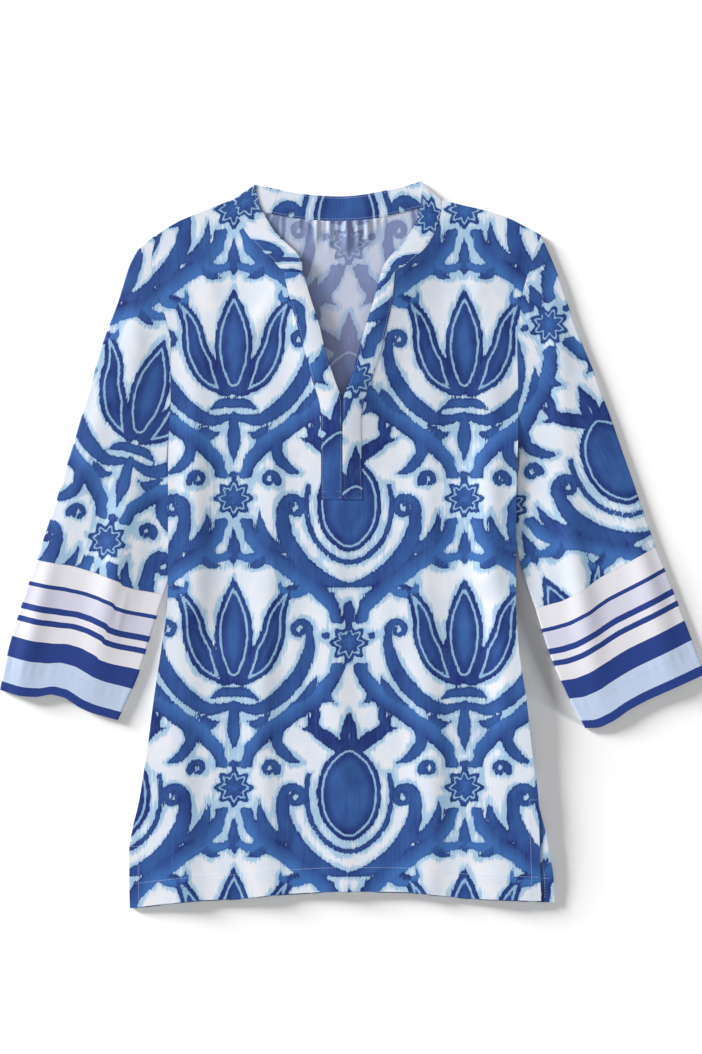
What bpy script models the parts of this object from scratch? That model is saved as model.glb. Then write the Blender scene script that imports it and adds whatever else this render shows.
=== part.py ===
"""A tunic top laid flat with its front up.

Every piece of cloth is a closed wall of even thickness. Plan places are in
millimetres from the centre line of the garment (across) and up from the left
hem corner (up), and heights are measured up from the surface it lies on.
"""
import math

import bpy
import numpy as np

MM = 0.001
WALL = 1.4
SEAM = 0.3
LOWER_CLOTH = WALL / 2
SEAM_STEP = WALL + SEAM
TUBE_STEP = WALL + 0.6
VALLEY_STEP = 2.3
SLEEVE_VALLEY_STEP = 2.8
SIDE_OVER_SLEEVE = 4.4
SIDE_INNER_FLAT = 15.0
SIDE_INNER_END = 62.0
LIFT_STARTS_LEFT = (284, 326)
LIFT_STARTS_RIGHT = (318, 356)
LIFT_ENDS_BELOW_UNDERARM = 30.0
RIDGE_HALF_WIDTH = 21.0
RIDGE_FADES = (480, 660)
CHEST_UP = 520.0
NECK_RAISE = 6.0
NECK_RAISE_HALF_WIDTH = 40.0
V_RUN = (0, 520, 55, 690)
SIDE_SOFTNESS = 17.0
SHOULDER_SOFTNESS = 24.0
NECK_POINT_SOFTNESS = 26.0
NECK_POINT_RAISE = 0.3
ARMHOLE_LOFT = 1.6
OUTER_FOLD_SOFTNESS = 13.0
INNER_FOLD_SOFTNESS = 36.0
SEWN_SHARE = 0.7
WAVE_STARTS = (0.75, 1.4)
UNDERARM_UP = 496.0
SLIT_UP = 432.4
ARC_STEPS = 4

# up, half width at left, half width at right, back panel beyond it at left, at right
SIDES = (
    (0.0, 224.1, 211.4, -2.5, 13.8),
    (30.0, 224.6, 210.6, -2.5, 14.0),
    (61.5, 224.7, 209.8, -1.5, 9.5),
    (85.0, 221.0, 209.0, 0.0, 6.0),
    (114.5, 214.1, 208.3, 0.0, 0.0),
    (167.4, 205.6, 201.4, 0.0, 0.0),
    (220.4, 198.7, 195.5, 0.0, 0.0),
    (273.4, 190.8, 187.6, 0.0, 0.0),
    (326.4, 183.9, 184.4, 0.0, 0.0),
    (390.0, 183.3, 184.4, 0.0, 0.0),
    (453.6, 183.3, 184.9, 0.0, 0.0),
    (496.0, 182.8, 186.5, 0.0, 0.0),
    (538.4, 180.7, 187.1, 0.0, 0.0),
    (596.7, 180.7, 186.0, 0.0, 0.0),
    (623.2, 185.5, 188.1, 0.0, 0.0),
    (644.4, 192.4, 190.2, 0.0, 0.0),
    (670.9, 199.8, 196.6, 0.0, 0.0),
    (686.8, 200.8, 201.4, 0.0, 0.0),
    (712.7, 195.5, 211.4, 0.0, 0.0),
)

# across, up of the front hem
HEM = (
    (-224.1, 0.0),
    (-192.4, 4.2),
    (-150.0, 8.5),
    (-107.6, 10.6),
    (-65.2, 14.8),
    (3.7, 18.0),
    (62.0, 17.6),
    (104.4, 13.8),
    (146.8, 10.1),
    (211.4, 7.9),
)
BACK_HEM_SHORTER = 1.4

# across, up of the shoulder line from each sleeve top to the neck
SHOULDER_LEFT = (
    (-195.5, 712.7),
    (-183.9, 720.7),
    (-171.2, 728.0),
    (-150.0, 736.8),
    (-133.0, 743.6),
    (-115.0, 750.3),
)
SHOULDER_RIGHT = (
    (106.5, 749.8),
    (125.6, 745.0),
    (146.8, 740.3),
    (168.0, 734.5),
    (183.9, 727.5),
    (199.8, 718.9),
    (211.4, 712.7),
)

# seam across, seam up, free edge across, free edge up, from front end to shoulder
COLLAR_LEFT_ARM = (
    (-61.5, 673.5, -41.3, 673.0),
    (-68.4, 680.8, -41.9, 683.6),
    (-77.9, 690.4, -47.2, 693.2),
    (-88.6, 700.5, -57.0, 702.5),
    (-97.0, 710.0, -66.2, 711.6),
    (-103.3, 719.5, -74.7, 722.3),
    (-107.9, 729.5, -81.6, 734.4),
    (-111.3, 739.7, -87.4, 748.2),
    (-115.0, 750.3, -91.5, 766.3),
)
COLLAR_BACK = (
    (-115.0, 750.3, -91.5, 766.3),
    (-97.0, 742.4, -84.3, 765.2),
    (-80.0, 737.1, -73.7, 762.6),
    (-59.9, 732.9, -55.6, 759.0),
    (-40.0, 730.0, -37.0, 756.0),
    (-28.0, 728.9, -26.0, 754.9),
    (-14.0, 728.2, -13.0, 754.1),
    (0.0, 728.1, 0.0, 753.8),
    (14.0, 728.6, 13.0, 754.6),
    (28.0, 729.9, 26.0, 756.2),
    (40.0, 731.6, 36.5, 758.1),
    (53.5, 734.7, 49.3, 760.6),
    (70.5, 738.9, 63.5, 764.0),
    (88.5, 743.6, 75.8, 767.2),
    (106.5, 749.8, 84.3, 769.9),
)
COLLAR_RIGHT_ARM = (
    (106.5, 749.8, 84.3, 769.9),
    (105.5, 738.6, 84.8, 754.6),
    (103.0, 727.6, 83.2, 739.7),
    (99.0, 716.9, 78.8, 726.0),
    (93.2, 706.4, 72.0, 714.0),
    (85.9, 696.5, 63.4, 702.9),
    (76.8, 687.2, 54.0, 692.6),
    (66.6, 679.6, 46.6, 682.9),
    (56.7, 673.5, 41.9, 672.4),
)

# up, left seam, left edge, right edge, right seam
PLACKET = (
    (432.4, -21.7, 0.85, 1.15, 22.8),
    (485.4, -21.7, 0.85, 1.15, 21.2),
    (517.2, -21.7, 0.85, 1.15, 20.7),
    (534.1, -23.3, 0.70, 1.30, 23.3),
    (559.6, -31.3, -7.4, 9.0, 32.3),
    (591.4, -39.7, -17.5, 18.5, 41.9),
    (617.9, -47.2, -23.8, 26.0, 48.8),
    (644.4, -54.6, -32.3, 34.4, 54.0),
    (673.0, -61.5, -40.8, 41.9, 56.7),
)

# share of the way down, outer fold across, up, inner edge across, up
SLEEVE_LEFT = (
    (0.00, -200.3, 710.6, -196.0, 711.7),
    (0.10, -211.4, 702.1, -200.6, 693.1),
    (0.20, -223.1, 683.6, -199.2, 668.7),
    (0.32, -236.9, 641.2, -188.6, 629.5),
    (0.46, -251.7, 602.0, -180.7, 580.8),
    (0.58, -263.9, 561.7, -180.7, 538.4),
    (0.70, -275.5, 520.4, -183.1, 496.0),
    (0.76, -283.5, 492.8, -184.2, 471.6),
    (0.82, -290.9, 469.5, -181.2, 447.2),
    (0.90, -302.6, 430.3, -173.3, 400.6),
    (0.95, -312.6, 400.6, -178.0, 365.6),
    (1.00, -322.7, 369.9, -188.1, 332.2),
    (1.33, -334.4, 334.9, -201.9, 289.3),
    (1.66, -349.2, 290.4, -217.3, 241.6),
    (2.00, -361.9, 231.0, -236.9, 199.2),
)
SLEEVE_RIGHT = (
    (0.00, 215.1, 704.2, 211.0, 710.1),
    (0.10, 221.5, 689.9, 203.5, 689.9),
    (0.20, 231.6, 664.5, 194.5, 661.3),
    (0.32, 243.8, 627.4, 186.8, 604.1),
    (0.46, 257.0, 592.4, 186.5, 559.6),
    (0.58, 267.6, 567.5, 187.1, 527.8),
    (0.70, 277.1, 541.0, 186.8, 496.0),
    (0.76, 286.1, 517.2, 188.0, 471.6),
    (0.82, 296.2, 487.5, 183.3, 446.2),
    (0.90, 308.9, 451.5, 180.2, 408.0),
    (0.95, 320.6, 417.6, 189.2, 365.6),
    (1.00, 333.3, 382.1, 205.1, 317.9),
    (1.33, 350.3, 339.1, 217.8, 276.6),
    (1.66, 367.2, 294.6, 234.7, 235.3),
    (2.00, 385.2, 247.5, 258.1, 190.8),
)
SLEEVE_ROWS = (0.73, 0.76, 0.79, 0.83, 0.87, 0.91, 0.955, 1.0)
CUFF_ROWS = (1.0, 1.2, 1.4, 1.6, 1.8, 2.0)
SLEEVE_COLUMNS = 13

# place across the sleeve from its outer fold, spread, lift along the sleeve
SLEEVE_WAVE_LEFT = (0.42, 0.20, 7.0)
SLEEVE_WAVE_RIGHT = (0.72, 0.16, -6.5)

# across at the hem, across at the chest, height at the hem, height at the chest
FRONT_RIDGES = (
    (-168.0, -152.0, 2.8, 1.6),
    (-84.0, -76.0, 3.1, 2.2),
    (-2.0, -6.0, 2.8, 1.2),
    (94.0, 88.0, 3.1, 2.2),
    (172.0, 160.0, 2.8, 1.8),
)

# start across, start up, end across, end up, half width, height
SLEEVE_RIDGES_LEFT = (
    (-214.0, 650.0, -230.0, 420.0, 16.0, 1.6),
    (-232.0, 480.0, -272.0, 250.0, 20.0, 2.4),
    (-300.0, 420.0, -335.0, 250.0, 15.0, 1.6),
)
SLEEVE_RIDGES_RIGHT = (
    (228.0, 640.0, 236.0, 420.0, 15.0, 2.0),
    (244.0, 460.0, 272.0, 230.0, 18.0, 2.6),
    (300.0, 470.0, 338.0, 270.0, 18.0, 1.8),
)

# across, length down from the neck seam, height
GATHERS = (
    (-30.0, 26.0, 1.3),
    (-16.0, 30.0, 1.7),
    (-1.0, 46.0, 2.0),
    (13.5, 40.0, 1.8),
    (24.0, 26.0, 1.7),
    (34.0, 22.0, 1.1),
)
GATHER_HALF_WIDTH = 3.6

ROWS_BELOW_SLIT = 16
ROWS_ABOVE_SLIT = (0, 0.113, 0.2264, 0.3, 0.37, 0.423, 0.49, 0.56, 0.63, 0.7, 0.77, 0.84, 0.9, 0.95, 1.0)
SHOULDER_COLUMNS = 8
SLIT_COLUMNS = (0.2, 0.4, 0.6, 0.8)
GATHER_SPACING = 3.6
NECK_POINT_DROP = 2.6


def clear_scene():
    """Empties the scene."""
    for thing in list(bpy.data.objects):
        bpy.data.objects.remove(thing, do_unlink=True)


def eased(table, column, at):
    """Reads one column of a table between its rows with a smooth curve that
    keeps the table's slopes, and holds the end values beyond them."""
    keys = np.array([row[0] for row in table], float)
    values = np.array([row[column] for row in table], float)
    at = np.clip(np.asarray(at, float), keys[0], keys[-1])
    step = np.diff(keys)
    rise = np.diff(values) / step
    slope = np.zeros(len(keys))
    slope[1:-1] = (rise[:-1] * step[1:] + rise[1:] * step[:-1]) / (step[1:] + step[:-1])
    slope[0] = rise[0]
    slope[-1] = rise[-1]
    i = np.clip(np.searchsorted(keys, at) - 1, 0, len(keys) - 2)
    t = (at - keys[i]) / step[i]
    near = (1 + 2 * t) * (1 - t) ** 2 * values[i] + t * (1 - t) ** 2 * step[i] * slope[i]
    far = t * t * (3 - 2 * t) * values[i + 1] - t * t * (1 - t) * step[i] * slope[i + 1]
    return near + far


def smooth_step(low, high, at):
    """0 below low, 1 above high, with a soft start and end."""
    t = np.clip((np.asarray(at, float) - low) / (high - low), 0, 1)
    return t * t * (3 - 2 * t)


def side_left(up):
    """Where the left side seam and armhole lie across."""
    return -eased(SIDES, 1, up)


def side_right(up):
    """Where the right side seam and armhole lie across."""
    return eased(SIDES, 2, up)


def shoulder_up(across):
    """The shoulder line, level over the neck opening."""
    table = SHOULDER_LEFT + SHOULDER_RIGHT
    return np.interp(across, [p[0] for p in table], [p[1] for p in table])


def hem_up(across):
    """The front hem line."""
    return eased(HEM, 1, across)


def distance_to_run(across, up, run):
    """Distance from a straight run between two places."""
    ax, ay, bx, by = run[:4]
    length = (bx - ax) ** 2 + (by - ay) ** 2
    along = ((across - ax) * (bx - ax) + (up - ay) * (by - ay)) / length
    t = np.clip(along, 0, 1)
    return np.hypot(across - ax - t * (bx - ax), up - ay - t * (by - ay))


def side_rise(across, up):
    """How far the body's side edges are lifted where they lie over the sleeves."""
    into_left = across - side_left(up)
    into_right = side_right(up) - across
    below_arm = smooth_step(UNDERARM_UP, UNDERARM_UP - LIFT_ENDS_BELOW_UNDERARM, up)
    left = below_arm * smooth_step(*LIFT_STARTS_LEFT, up)
    right = below_arm * smooth_step(*LIFT_STARTS_RIGHT, up)
    left = left * (1 - smooth_step(SIDE_INNER_FLAT, SIDE_INNER_END, into_left))
    right = right * (1 - smooth_step(SIDE_INNER_FLAT, SIDE_INNER_END, into_right))
    return SIDE_OVER_SLEEVE * (left + right)


def back_height(across, up):
    """Middle of the back panel's wall, flat on the surface but for the gathers
    below the neck band and the side edges that lie over the sleeves."""
    neck = eased([row[:2] for row in COLLAR_BACK], 1, across)
    below = neck - up
    raised = np.zeros(np.shape(across))
    for place, length, height in GATHERS:
        shape = np.exp(-(((across - place) / GATHER_HALF_WIDTH) ** 2))
        fade = (1 - smooth_step(0.15 * length, length, below)) * smooth_step(-20, 0, -below + 20)
        raised = raised + height * shape * fade
    return LOWER_CLOTH + side_rise(across, up) + raised


def armhole_step(up):
    """Distance between front and back along the seam line: close at the side
    seam and the shoulder, open along the armhole."""
    top = SIDES[-1][0]
    inside = smooth_step(UNDERARM_UP - LIFT_ENDS_BELOW_UNDERARM, UNDERARM_UP, up)
    t = np.clip((up - UNDERARM_UP) / (top - UNDERARM_UP), 0, 1)
    loft = ARMHOLE_LOFT * np.sin(math.pi * t) ** 2
    return SEAM_STEP + inside * (TUBE_STEP - SEAM_STEP + loft)


def front_height(across, up):
    """Middle of the front panel's wall. It lies on the back in the valleys,
    rises in soft ridges that run down from the chest, and stands a little
    higher along the V opening."""
    into = np.minimum(across - side_left(up), side_right(up) - across)
    below_shoulder = shoulder_up(across) - up
    off_side = 1 - np.exp(-((np.maximum(into, 0) / SIDE_SOFTNESS) ** 2))
    off_shoulder = 1 - np.exp(-((np.maximum(below_shoulder, 0) / SHOULDER_SOFTNESS) ** 2))
    ridges = np.zeros(np.shape(across))
    chest = np.clip(up / CHEST_UP, 0, 1.3)
    for hem_at, chest_at, hem_high, chest_high in FRONT_RIDGES:
        middle = hem_at + (chest_at - hem_at) * chest
        high = hem_high + (chest_high - hem_high) * chest
        fade = 1 - 0.75 * smooth_step(*RIDGE_FADES, up)
        ridges = ridges + high * fade * np.exp(-(((across - middle) / RIDGE_HALF_WIDTH) ** 2))
    gap = distance_to_run(np.abs(across - 1), up, V_RUN)
    opening = NECK_RAISE * np.exp(-((gap / NECK_RAISE_HALF_WIDTH) ** 2))
    inward = VALLEY_STEP - SEAM_STEP + ridges + opening
    step = armhole_step(up) + off_side * off_shoulder * inward
    pinch = np.zeros(np.shape(across))
    for point in (COLLAR_BACK[0], COLLAR_BACK[-1]):
        away = np.hypot(across - point[0], up - point[1])
        pinch = pinch + NECK_POINT_RAISE * np.exp(-((away / NECK_POINT_SOFTNESS) ** 2))
    return LOWER_CLOTH + side_rise(across, up) + step + pinch


def make_wall(name, mid, out, thickness, keep=None, ring=False):
    """A closed wall from a grid of middle points. mid and out are arrays of
    rows x columns x 3: the points in millimetres and the direction in which
    the outer face lies. keep says which cells are cloth, and ring joins the
    last column to the first."""
    rows, columns = mid.shape[:2]
    spans = columns if ring else columns - 1
    if keep is None:
        keep = np.ones((rows - 1, spans), bool)
    half = out * thickness / 2
    outer = (mid + half).reshape(-1, 3)
    inner = (mid - half).reshape(-1, 3)
    count = rows * columns
    points = np.vstack((outer, inner)) * MM
    faces = []
    border = {}
    for j in range(rows - 1):
        for i in range(spans):
            if not keep[j, i]:
                continue
            k = (i + 1) % columns
            a, b = j * columns + i, j * columns + k
            c, d = (j + 1) * columns + k, (j + 1) * columns + i
            for face in ((a, b, c), (a, c, d)):
                faces.append(face)
                faces.append(tuple(v + count for v in reversed(face)))
            for edge in ((a, b), (b, c), (c, d), (d, a)):
                if (edge[1], edge[0]) in border:
                    del border[(edge[1], edge[0])]
                else:
                    border[edge] = True
    for a, b in border:
        faces.append((b, a, a + count))
        faces.append((b, a + count, b + count))
    used = sorted({v for face in faces for v in face})
    place = {v: n for n, v in enumerate(used)}
    points = points[used]
    faces = [tuple(place[v] for v in face) for face in faces]
    tri = points[np.array(faces)]
    volume = np.einsum("ij,ij->i", tri[:, 0], np.cross(tri[:, 1], tri[:, 2])).sum() / 6
    if volume < 0:
        faces = [tuple(reversed(face)) for face in faces]
    mesh = bpy.data.meshes.new(name)
    mesh.from_pydata([tuple(p) for p in points], [], faces)
    mesh.update()
    piece = bpy.data.objects.new(name, mesh)
    bpy.context.scene.collection.objects.link(piece)
    return piece


def straight_up(mid):
    """Outer directions for a sheet whose wall is measured straight up."""
    out = np.zeros_like(mid)
    out[..., 2] = 1
    return out


def lay(across, up, height):
    """Stacks three arrays into points."""
    return np.stack(np.broadcast_arrays(across, up, height), axis=-1).astype(float)


def front_panel_grid():
    """Plan places of the front panel's grid, with the slit's two columns."""
    left_seam = [row[:2] for row in COLLAR_LEFT_ARM[::-1]]
    right_seam = [row[:2] for row in COLLAR_RIGHT_ARM[::-1]]
    left = shoulder_run(SHOULDER_LEFT) + left_seam
    right = right_seam + shoulder_run(SHOULDER_RIGHT)[::-1]
    slit_left = eased(PLACKET, 1, SLIT_UP)
    slit_right = eased(PLACKET, 4, SLIT_UP)
    columns = []
    for x, y in left:
        inner = eased(PLACKET, 1, y)
        share = (x - side_left(y)) / (inner - side_left(y))
        base = side_left(SLIT_UP) + share * (slit_left - side_left(SLIT_UP))
        columns.append((base, share, y, "left"))
    for share in SLIT_COLUMNS:
        columns.append((slit_left + share * (slit_right - slit_left), share, SLIT_UP, "slit"))
    for x, y in right:
        inner = eased(PLACKET, 4, y)
        share = (x - inner) / (side_right(y) - inner)
        base = slit_right + share * (side_right(SLIT_UP) - slit_right)
        columns.append((base, share, y, "right"))
    return columns


def shoulder_run(table):
    """Places along a shoulder line from its outer end, without the neck point."""
    ends = (table[0], table[-1]) if table is SHOULDER_LEFT else (table[-1], table[0])
    share = np.arange(SHOULDER_COLUMNS) / SHOULDER_COLUMNS
    across = ends[0][0] + share * (ends[1][0] - ends[0][0])
    return [(x, float(shoulder_up(x))) for x in across]


def rows_below(base, hem_shift, left, right):
    """Plan places from the hem to the foot of the slit, for columns at the
    given places across there."""
    low, high = left(SLIT_UP), right(SLIT_UP)
    share = (np.array(base) - low) / (high - low)
    x_hem = left(0) + share * (right(0) - left(0))
    foot = hem_up(np.clip(x_hem, HEM[0][0], HEM[-1][0])) + hem_shift
    t = (np.arange(ROWS_BELOW_SLIT) / ROWS_BELOW_SLIT)[:, None]
    up = foot + t * (SLIT_UP - foot)
    across = left(up) + share * (right(up) - left(up))
    return across, up


def build_front():
    """The front panel, cut away for the slit, the V and the neck band."""
    columns = front_panel_grid()
    base = [c[0] for c in columns]
    low_x, low_y = rows_below(base, 0.0, side_left, side_right)
    high_x, high_y = [], []
    for t in ROWS_ABOVE_SLIT:
        xs, ys = [], []
        for foot, share, top, part in columns:
            y = SLIT_UP + t * (top - SLIT_UP)
            if part == "left":
                inner = eased(PLACKET, 1, y)
                x = side_left(y) + share * (inner - side_left(y))
            elif part == "right":
                inner = eased(PLACKET, 4, y)
                x = inner + share * (side_right(y) - inner)
            else:
                x = foot
            xs.append(float(x))
            ys.append(float(y))
        high_x.append(xs)
        high_y.append(ys)
    across = np.vstack((low_x, high_x))
    up = np.vstack((low_y, high_y))
    top = across.shape[0] - 1
    parts = [c[3] for c in columns]
    neck_l = SHOULDER_COLUMNS
    neck_r = len(columns) - SHOULDER_COLUMNS - 1
    for i, part in enumerate(parts):
        if neck_l <= i <= neck_r and part != "slit":
            away = seam_push(parts, i, neck_l, neck_r)
            across[top, i] += away[0] * SEAM
            up[top, i] += away[1] * SEAM
    keep = np.ones((across.shape[0] - 1, across.shape[1] - 1), bool)
    first = parts.index("slit") - 1
    last = len(parts) - 1 - parts[::-1].index("slit") + 1
    keep[ROWS_BELOW_SLIT:, first:last] = False
    mid = lay(across, up, front_height(across, up))
    piece = make_wall("front_panel", mid, straight_up(mid), WALL, keep)
    return piece, mid


def seam_push(parts, i, neck_l, neck_r):
    """Unit direction away from the neck band's seam at a column of the front."""
    table = COLLAR_LEFT_ARM[::-1] if parts[i] == "left" else COLLAR_RIGHT_ARM[::-1]
    n = i - neck_l if parts[i] == "left" else i - (neck_r - len(table) + 1)
    a = table[max(n - 1, 0)]
    b = table[min(n + 1, len(table) - 1)]
    dx, dy = b[0] - a[0], b[1] - a[1]
    size = math.hypot(dx, dy)
    side = (dy / size, -dx / size)
    if side[1] > 0 or (abs(side[1]) < 1e-6 and side[0] * (a[0] + 4) < 0):
        side = (-side[0], -side[1])
    return side


def build_back():
    """The back panel, with its gathers below the neck band."""
    seam = [row[:2] for row in COLLAR_BACK]
    inner = [p for p in seam if abs(p[0]) > 42]
    middle = np.arange(-39.6, 40.0, GATHER_SPACING)
    neck = [p for p in inner if p[0] < 0]
    neck += [(float(x), float(eased(seam, 1, x))) for x in middle]
    neck += [p for p in inner if p[0] > 0]
    tops = shoulder_run(SHOULDER_LEFT) + neck + shoulder_run(SHOULDER_RIGHT)[::-1]
    share, top_up = [], []
    for x, y in tops:
        share.append((x - side_left(y)) / (side_right(y) - side_left(y)))
        top_up.append(y)
    share = np.array(share)
    top_up = np.array(top_up)
    base = side_left(SLIT_UP) + share * (side_right(SLIT_UP) - side_left(SLIT_UP))
    back_left = lambda y: side_left(y) - eased(SIDES, 3, y)
    back_right = lambda y: side_right(y) + eased(SIDES, 4, y)
    low_x, low_y = rows_below(base, BACK_HEM_SHORTER, back_left, back_right)
    t = np.array(ROWS_ABOVE_SLIT)[:, None]
    high_y = SLIT_UP + t * (top_up - SLIT_UP)
    high_x = side_left(high_y) + share * (side_right(high_y) - side_left(high_y))
    across = np.vstack((low_x, high_x))
    up = np.vstack((low_y, high_y))
    inside = slice(SHOULDER_COLUMNS, len(tops) - SHOULDER_COLUMNS)
    up[-1, inside] -= SEAM
    up[-1, [SHOULDER_COLUMNS, len(tops) - SHOULDER_COLUMNS - 1]] -= NECK_POINT_DROP
    mid = lay(across, up, back_height(across, up))
    return make_wall("back_panel", mid, straight_up(mid), WALL)


def armhole_places(front_mid, side):
    """The front panel's armhole points, from the shoulder to the underarm,
    moved off the panel by the seam's gap."""
    column = 0 if side < 0 else -1
    points = front_mid[ROWS_BELOW_SLIT + 2:, column, :2][::-1].copy()
    points[:, 0] += side * SEAM
    return points


def sleeve_lines(table, armhole):
    """For each line across a sleeve: its share of the way down, its outer and
    inner end, and whether the inner end is a fold or sewn into the armhole."""
    up = [row[4] for row in table[:7]]
    share = [row[0] for row in table[:7]]
    lines = []
    for n, place in enumerate(armhole):
        t = float(np.interp(-place[1], [-v for v in up], share))
        outer = np.array([eased(table, 1, t), eased(table, 2, t)])
        lines.append((t, outer, place, n == len(armhole) - 1))
    for t in SLEEVE_ROWS:
        lines.append(fold_line(table, t))
    return lines


def fold_line(table, t):
    """A line across a sleeve below the underarm, folded at both ends."""
    outer = np.array([eased(table, 1, t), eased(table, 2, t)])
    inner = np.array([eased(table, 3, t), eased(table, 4, t)])
    return (t, outer, inner, True)


def sleeve_step(across, up, width, share, ridges, inner_step):
    """Distance between the upper and lower cloth along a line across a sleeve,
    where share runs from 0 at the outer fold to 1 at the inner end."""
    off_outer = 1 - np.exp(-((share * width / OUTER_FOLD_SOFTNESS) ** 2))
    off_inner = 1 - np.exp(-(((1 - share) * width / INNER_FOLD_SOFTNESS) ** 2))
    raised = np.zeros(len(share))
    for run in ridges:
        gap = distance_to_run(across, up, run)
        raised = raised + run[5] * np.exp(-((gap / run[4]) ** 2))
    loft = SLEEVE_VALLEY_STEP + raised - TUBE_STEP
    return TUBE_STEP + off_outer * ((inner_step - TUBE_STEP) * (1 - off_inner) + loft * off_inner)


def build_tube(name, lines, wave, ridges, start_gap):
    """A flattened tube of cloth: upper cloth, round outer and inner folds,
    and lower cloth flat on the surface. Its inner side is open where it is
    sewn into the armhole."""
    shares = np.arange(SLEEVE_COLUMNS + 1) / SLEEVE_COLUMNS
    fold = TUBE_STEP / 2 + WALL / 2
    mids, outs, folded = [], [], []
    for n, (t, outer, inner, closed) in enumerate(lines):
        ends = inner - outer
        width = float(np.hypot(*ends))
        run = ends / width
        down = np.array([run[1], -run[0]])
        if down[1] > 0:
            down = -down
        place, spread, lift = wave
        first = fold / width
        last = 1 - first if closed else 1.0
        across = first + shares * (last - first)
        shape = np.exp(-(((across - place) / spread) ** 2)) * lift * smooth_step(*WAVE_STARTS, t)
        line = outer + across[:, None] * ends - down * shape[:, None]
        if n == 0:
            line = line + down * start_gap
        sewn = armhole_step(inner[1]) if t < SEWN_SHARE else TUBE_STEP
        step = sleeve_step(line[:, 0], line[:, 1], width, across, ridges, sewn)
        step[0] = TUBE_STEP
        low = LOWER_CLOTH
        upper = lay(line[:, 0], line[:, 1], low + step)
        lower = lay(line[::-1, 0], line[::-1, 1], low)
        up_dir = straight_up(upper)
        inner_arc, inner_out = fold_arc(line[-1], run, low)
        outer_arc, outer_out = fold_arc(line[0], -run, low)
        mids.append(np.vstack((upper, inner_arc, lower, outer_arc[::-1])))
        outs.append(np.vstack((up_dir, inner_out, -up_dir, outer_out[::-1])))
        folded.append(closed)
    keep = np.ones((len(lines) - 1, len(mids[0])), bool)
    for j in range(len(lines) - 1):
        if not folded[j]:
            keep[j, SLEEVE_COLUMNS:SLEEVE_COLUMNS + ARC_STEPS] = False
    return make_wall(name, np.array(mids), np.array(outs), WALL, keep, ring=True)


def unit(v):
    """A vector of length 1."""
    return v / np.hypot(*v)


def fold_arc(end, away, low):
    """Middle points of the round fold at one edge of a tube, from top to
    bottom, without its first and last."""
    radius = TUBE_STEP / 2
    angle = math.pi / 2 - math.pi * np.arange(1, ARC_STEPS) / ARC_STEPS
    sideways = np.cos(angle)[:, None] * away
    heights = np.sin(angle)
    points = np.column_stack((end + radius * sideways, low + radius + radius * heights))
    out = np.column_stack((sideways, heights))
    return points, out


def collar_row(row, height):
    """One line across the neck band, from its seam to its free edge."""
    t = np.array([0.0, 0.5, 1.0])
    across = row[0] + t * (row[2] - row[0])
    up = row[1] + t * (row[3] - row[1])
    return lay(across, up, height)


def build_collar():
    """The neck band: a left arm on the front, the back of the neck, and a
    right arm, folded over at each shoulder point."""
    mids, outs = [], []
    top = np.tile([0.0, 0.0, 1.0], (3, 1))
    for row in COLLAR_LEFT_ARM[:-1]:
        mids.append(collar_row(row, arm_height(row)))
        outs.append(top)
    for side, fold in ((-1, COLLAR_LEFT_ARM[-1]), (1, COLLAR_RIGHT_ARM[0])):
        rows = fold_rows(fold)
        if side > 0:
            for row in COLLAR_BACK[1:-1]:
                mids.append(collar_row(row, LOWER_CLOTH))
                outs.append(-top)
            rows = rows[::-1]
        for mid, out in rows:
            mids.append(mid)
            outs.append(out)
    for row in COLLAR_RIGHT_ARM[1:]:
        mids.append(collar_row(row, arm_height(row)))
        outs.append(top)
    return make_wall("collar_band", np.array(mids), np.array(outs), WALL)


def arm_height(row):
    """Height of an arm of the neck band, which follows the front's neck edge."""
    return float(front_height(np.array(row[0]), np.array(row[1])))


def fold_rows(row):
    """Lines across the neck band round its fold at one shoulder point, from
    the front arm to the back, each with its outer directions."""
    direction = np.array([row[2] - row[0], row[3] - row[1]])
    away = unit(np.array([-direction[1], direction[0]]))
    if away[1] < 0:
        away = -away
    upper = arm_height(row)
    radius = (upper - LOWER_CLOTH) / 2
    rows = []
    for n in range(ARC_STEPS + 1):
        angle = math.pi / 2 - math.pi * n / ARC_STEPS
        mid = collar_row(row, LOWER_CLOTH + radius + radius * math.sin(angle))
        mid[:, :2] += away * (radius * math.cos(angle) - radius - WALL / 2)
        out = np.tile([*(away * math.cos(angle)), math.sin(angle)], (3, 1))
        rows.append((mid, out))
    return rows


def build_placket(name, side):
    """One narrow band along the V and the slit."""
    mids = []
    corner = COLLAR_LEFT_ARM[0] if side < 0 else COLLAR_RIGHT_ARM[-1]
    for t in ROWS_ABOVE_SLIT:
        seam_top = corner[1] - SEAM
        edge_top = corner[3] - SEAM
        y_seam = SLIT_UP + SEAM + t * (seam_top - SLIT_UP - SEAM)
        y_edge = SLIT_UP + SEAM + t * (edge_top - SLIT_UP - SEAM)
        seam = float(eased(PLACKET, 1 if side < 0 else 4, y_seam)) - side * SEAM
        edge = float(eased(PLACKET, 2 if side < 0 else 3, y_edge))
        s = np.array([0.0, 0.5, 1.0])
        across = seam + s * (edge - seam)
        up = y_seam + s * (y_edge - y_seam)
        mids.append(lay(across, up, front_height(across, up)))
    mid = np.array(mids)
    return make_wall(name, mid, straight_up(mid), WALL)


def cloth(name, colour):
    """A plain woven cloth finish."""
    material = bpy.data.materials.new(name)
    material.use_nodes = True
    shader = material.node_tree.nodes["Principled BSDF"]
    shader.inputs["Base Color"].default_value = (*colour, 1)
    shader.inputs["Roughness"].default_value = 0.62
    return material


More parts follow.
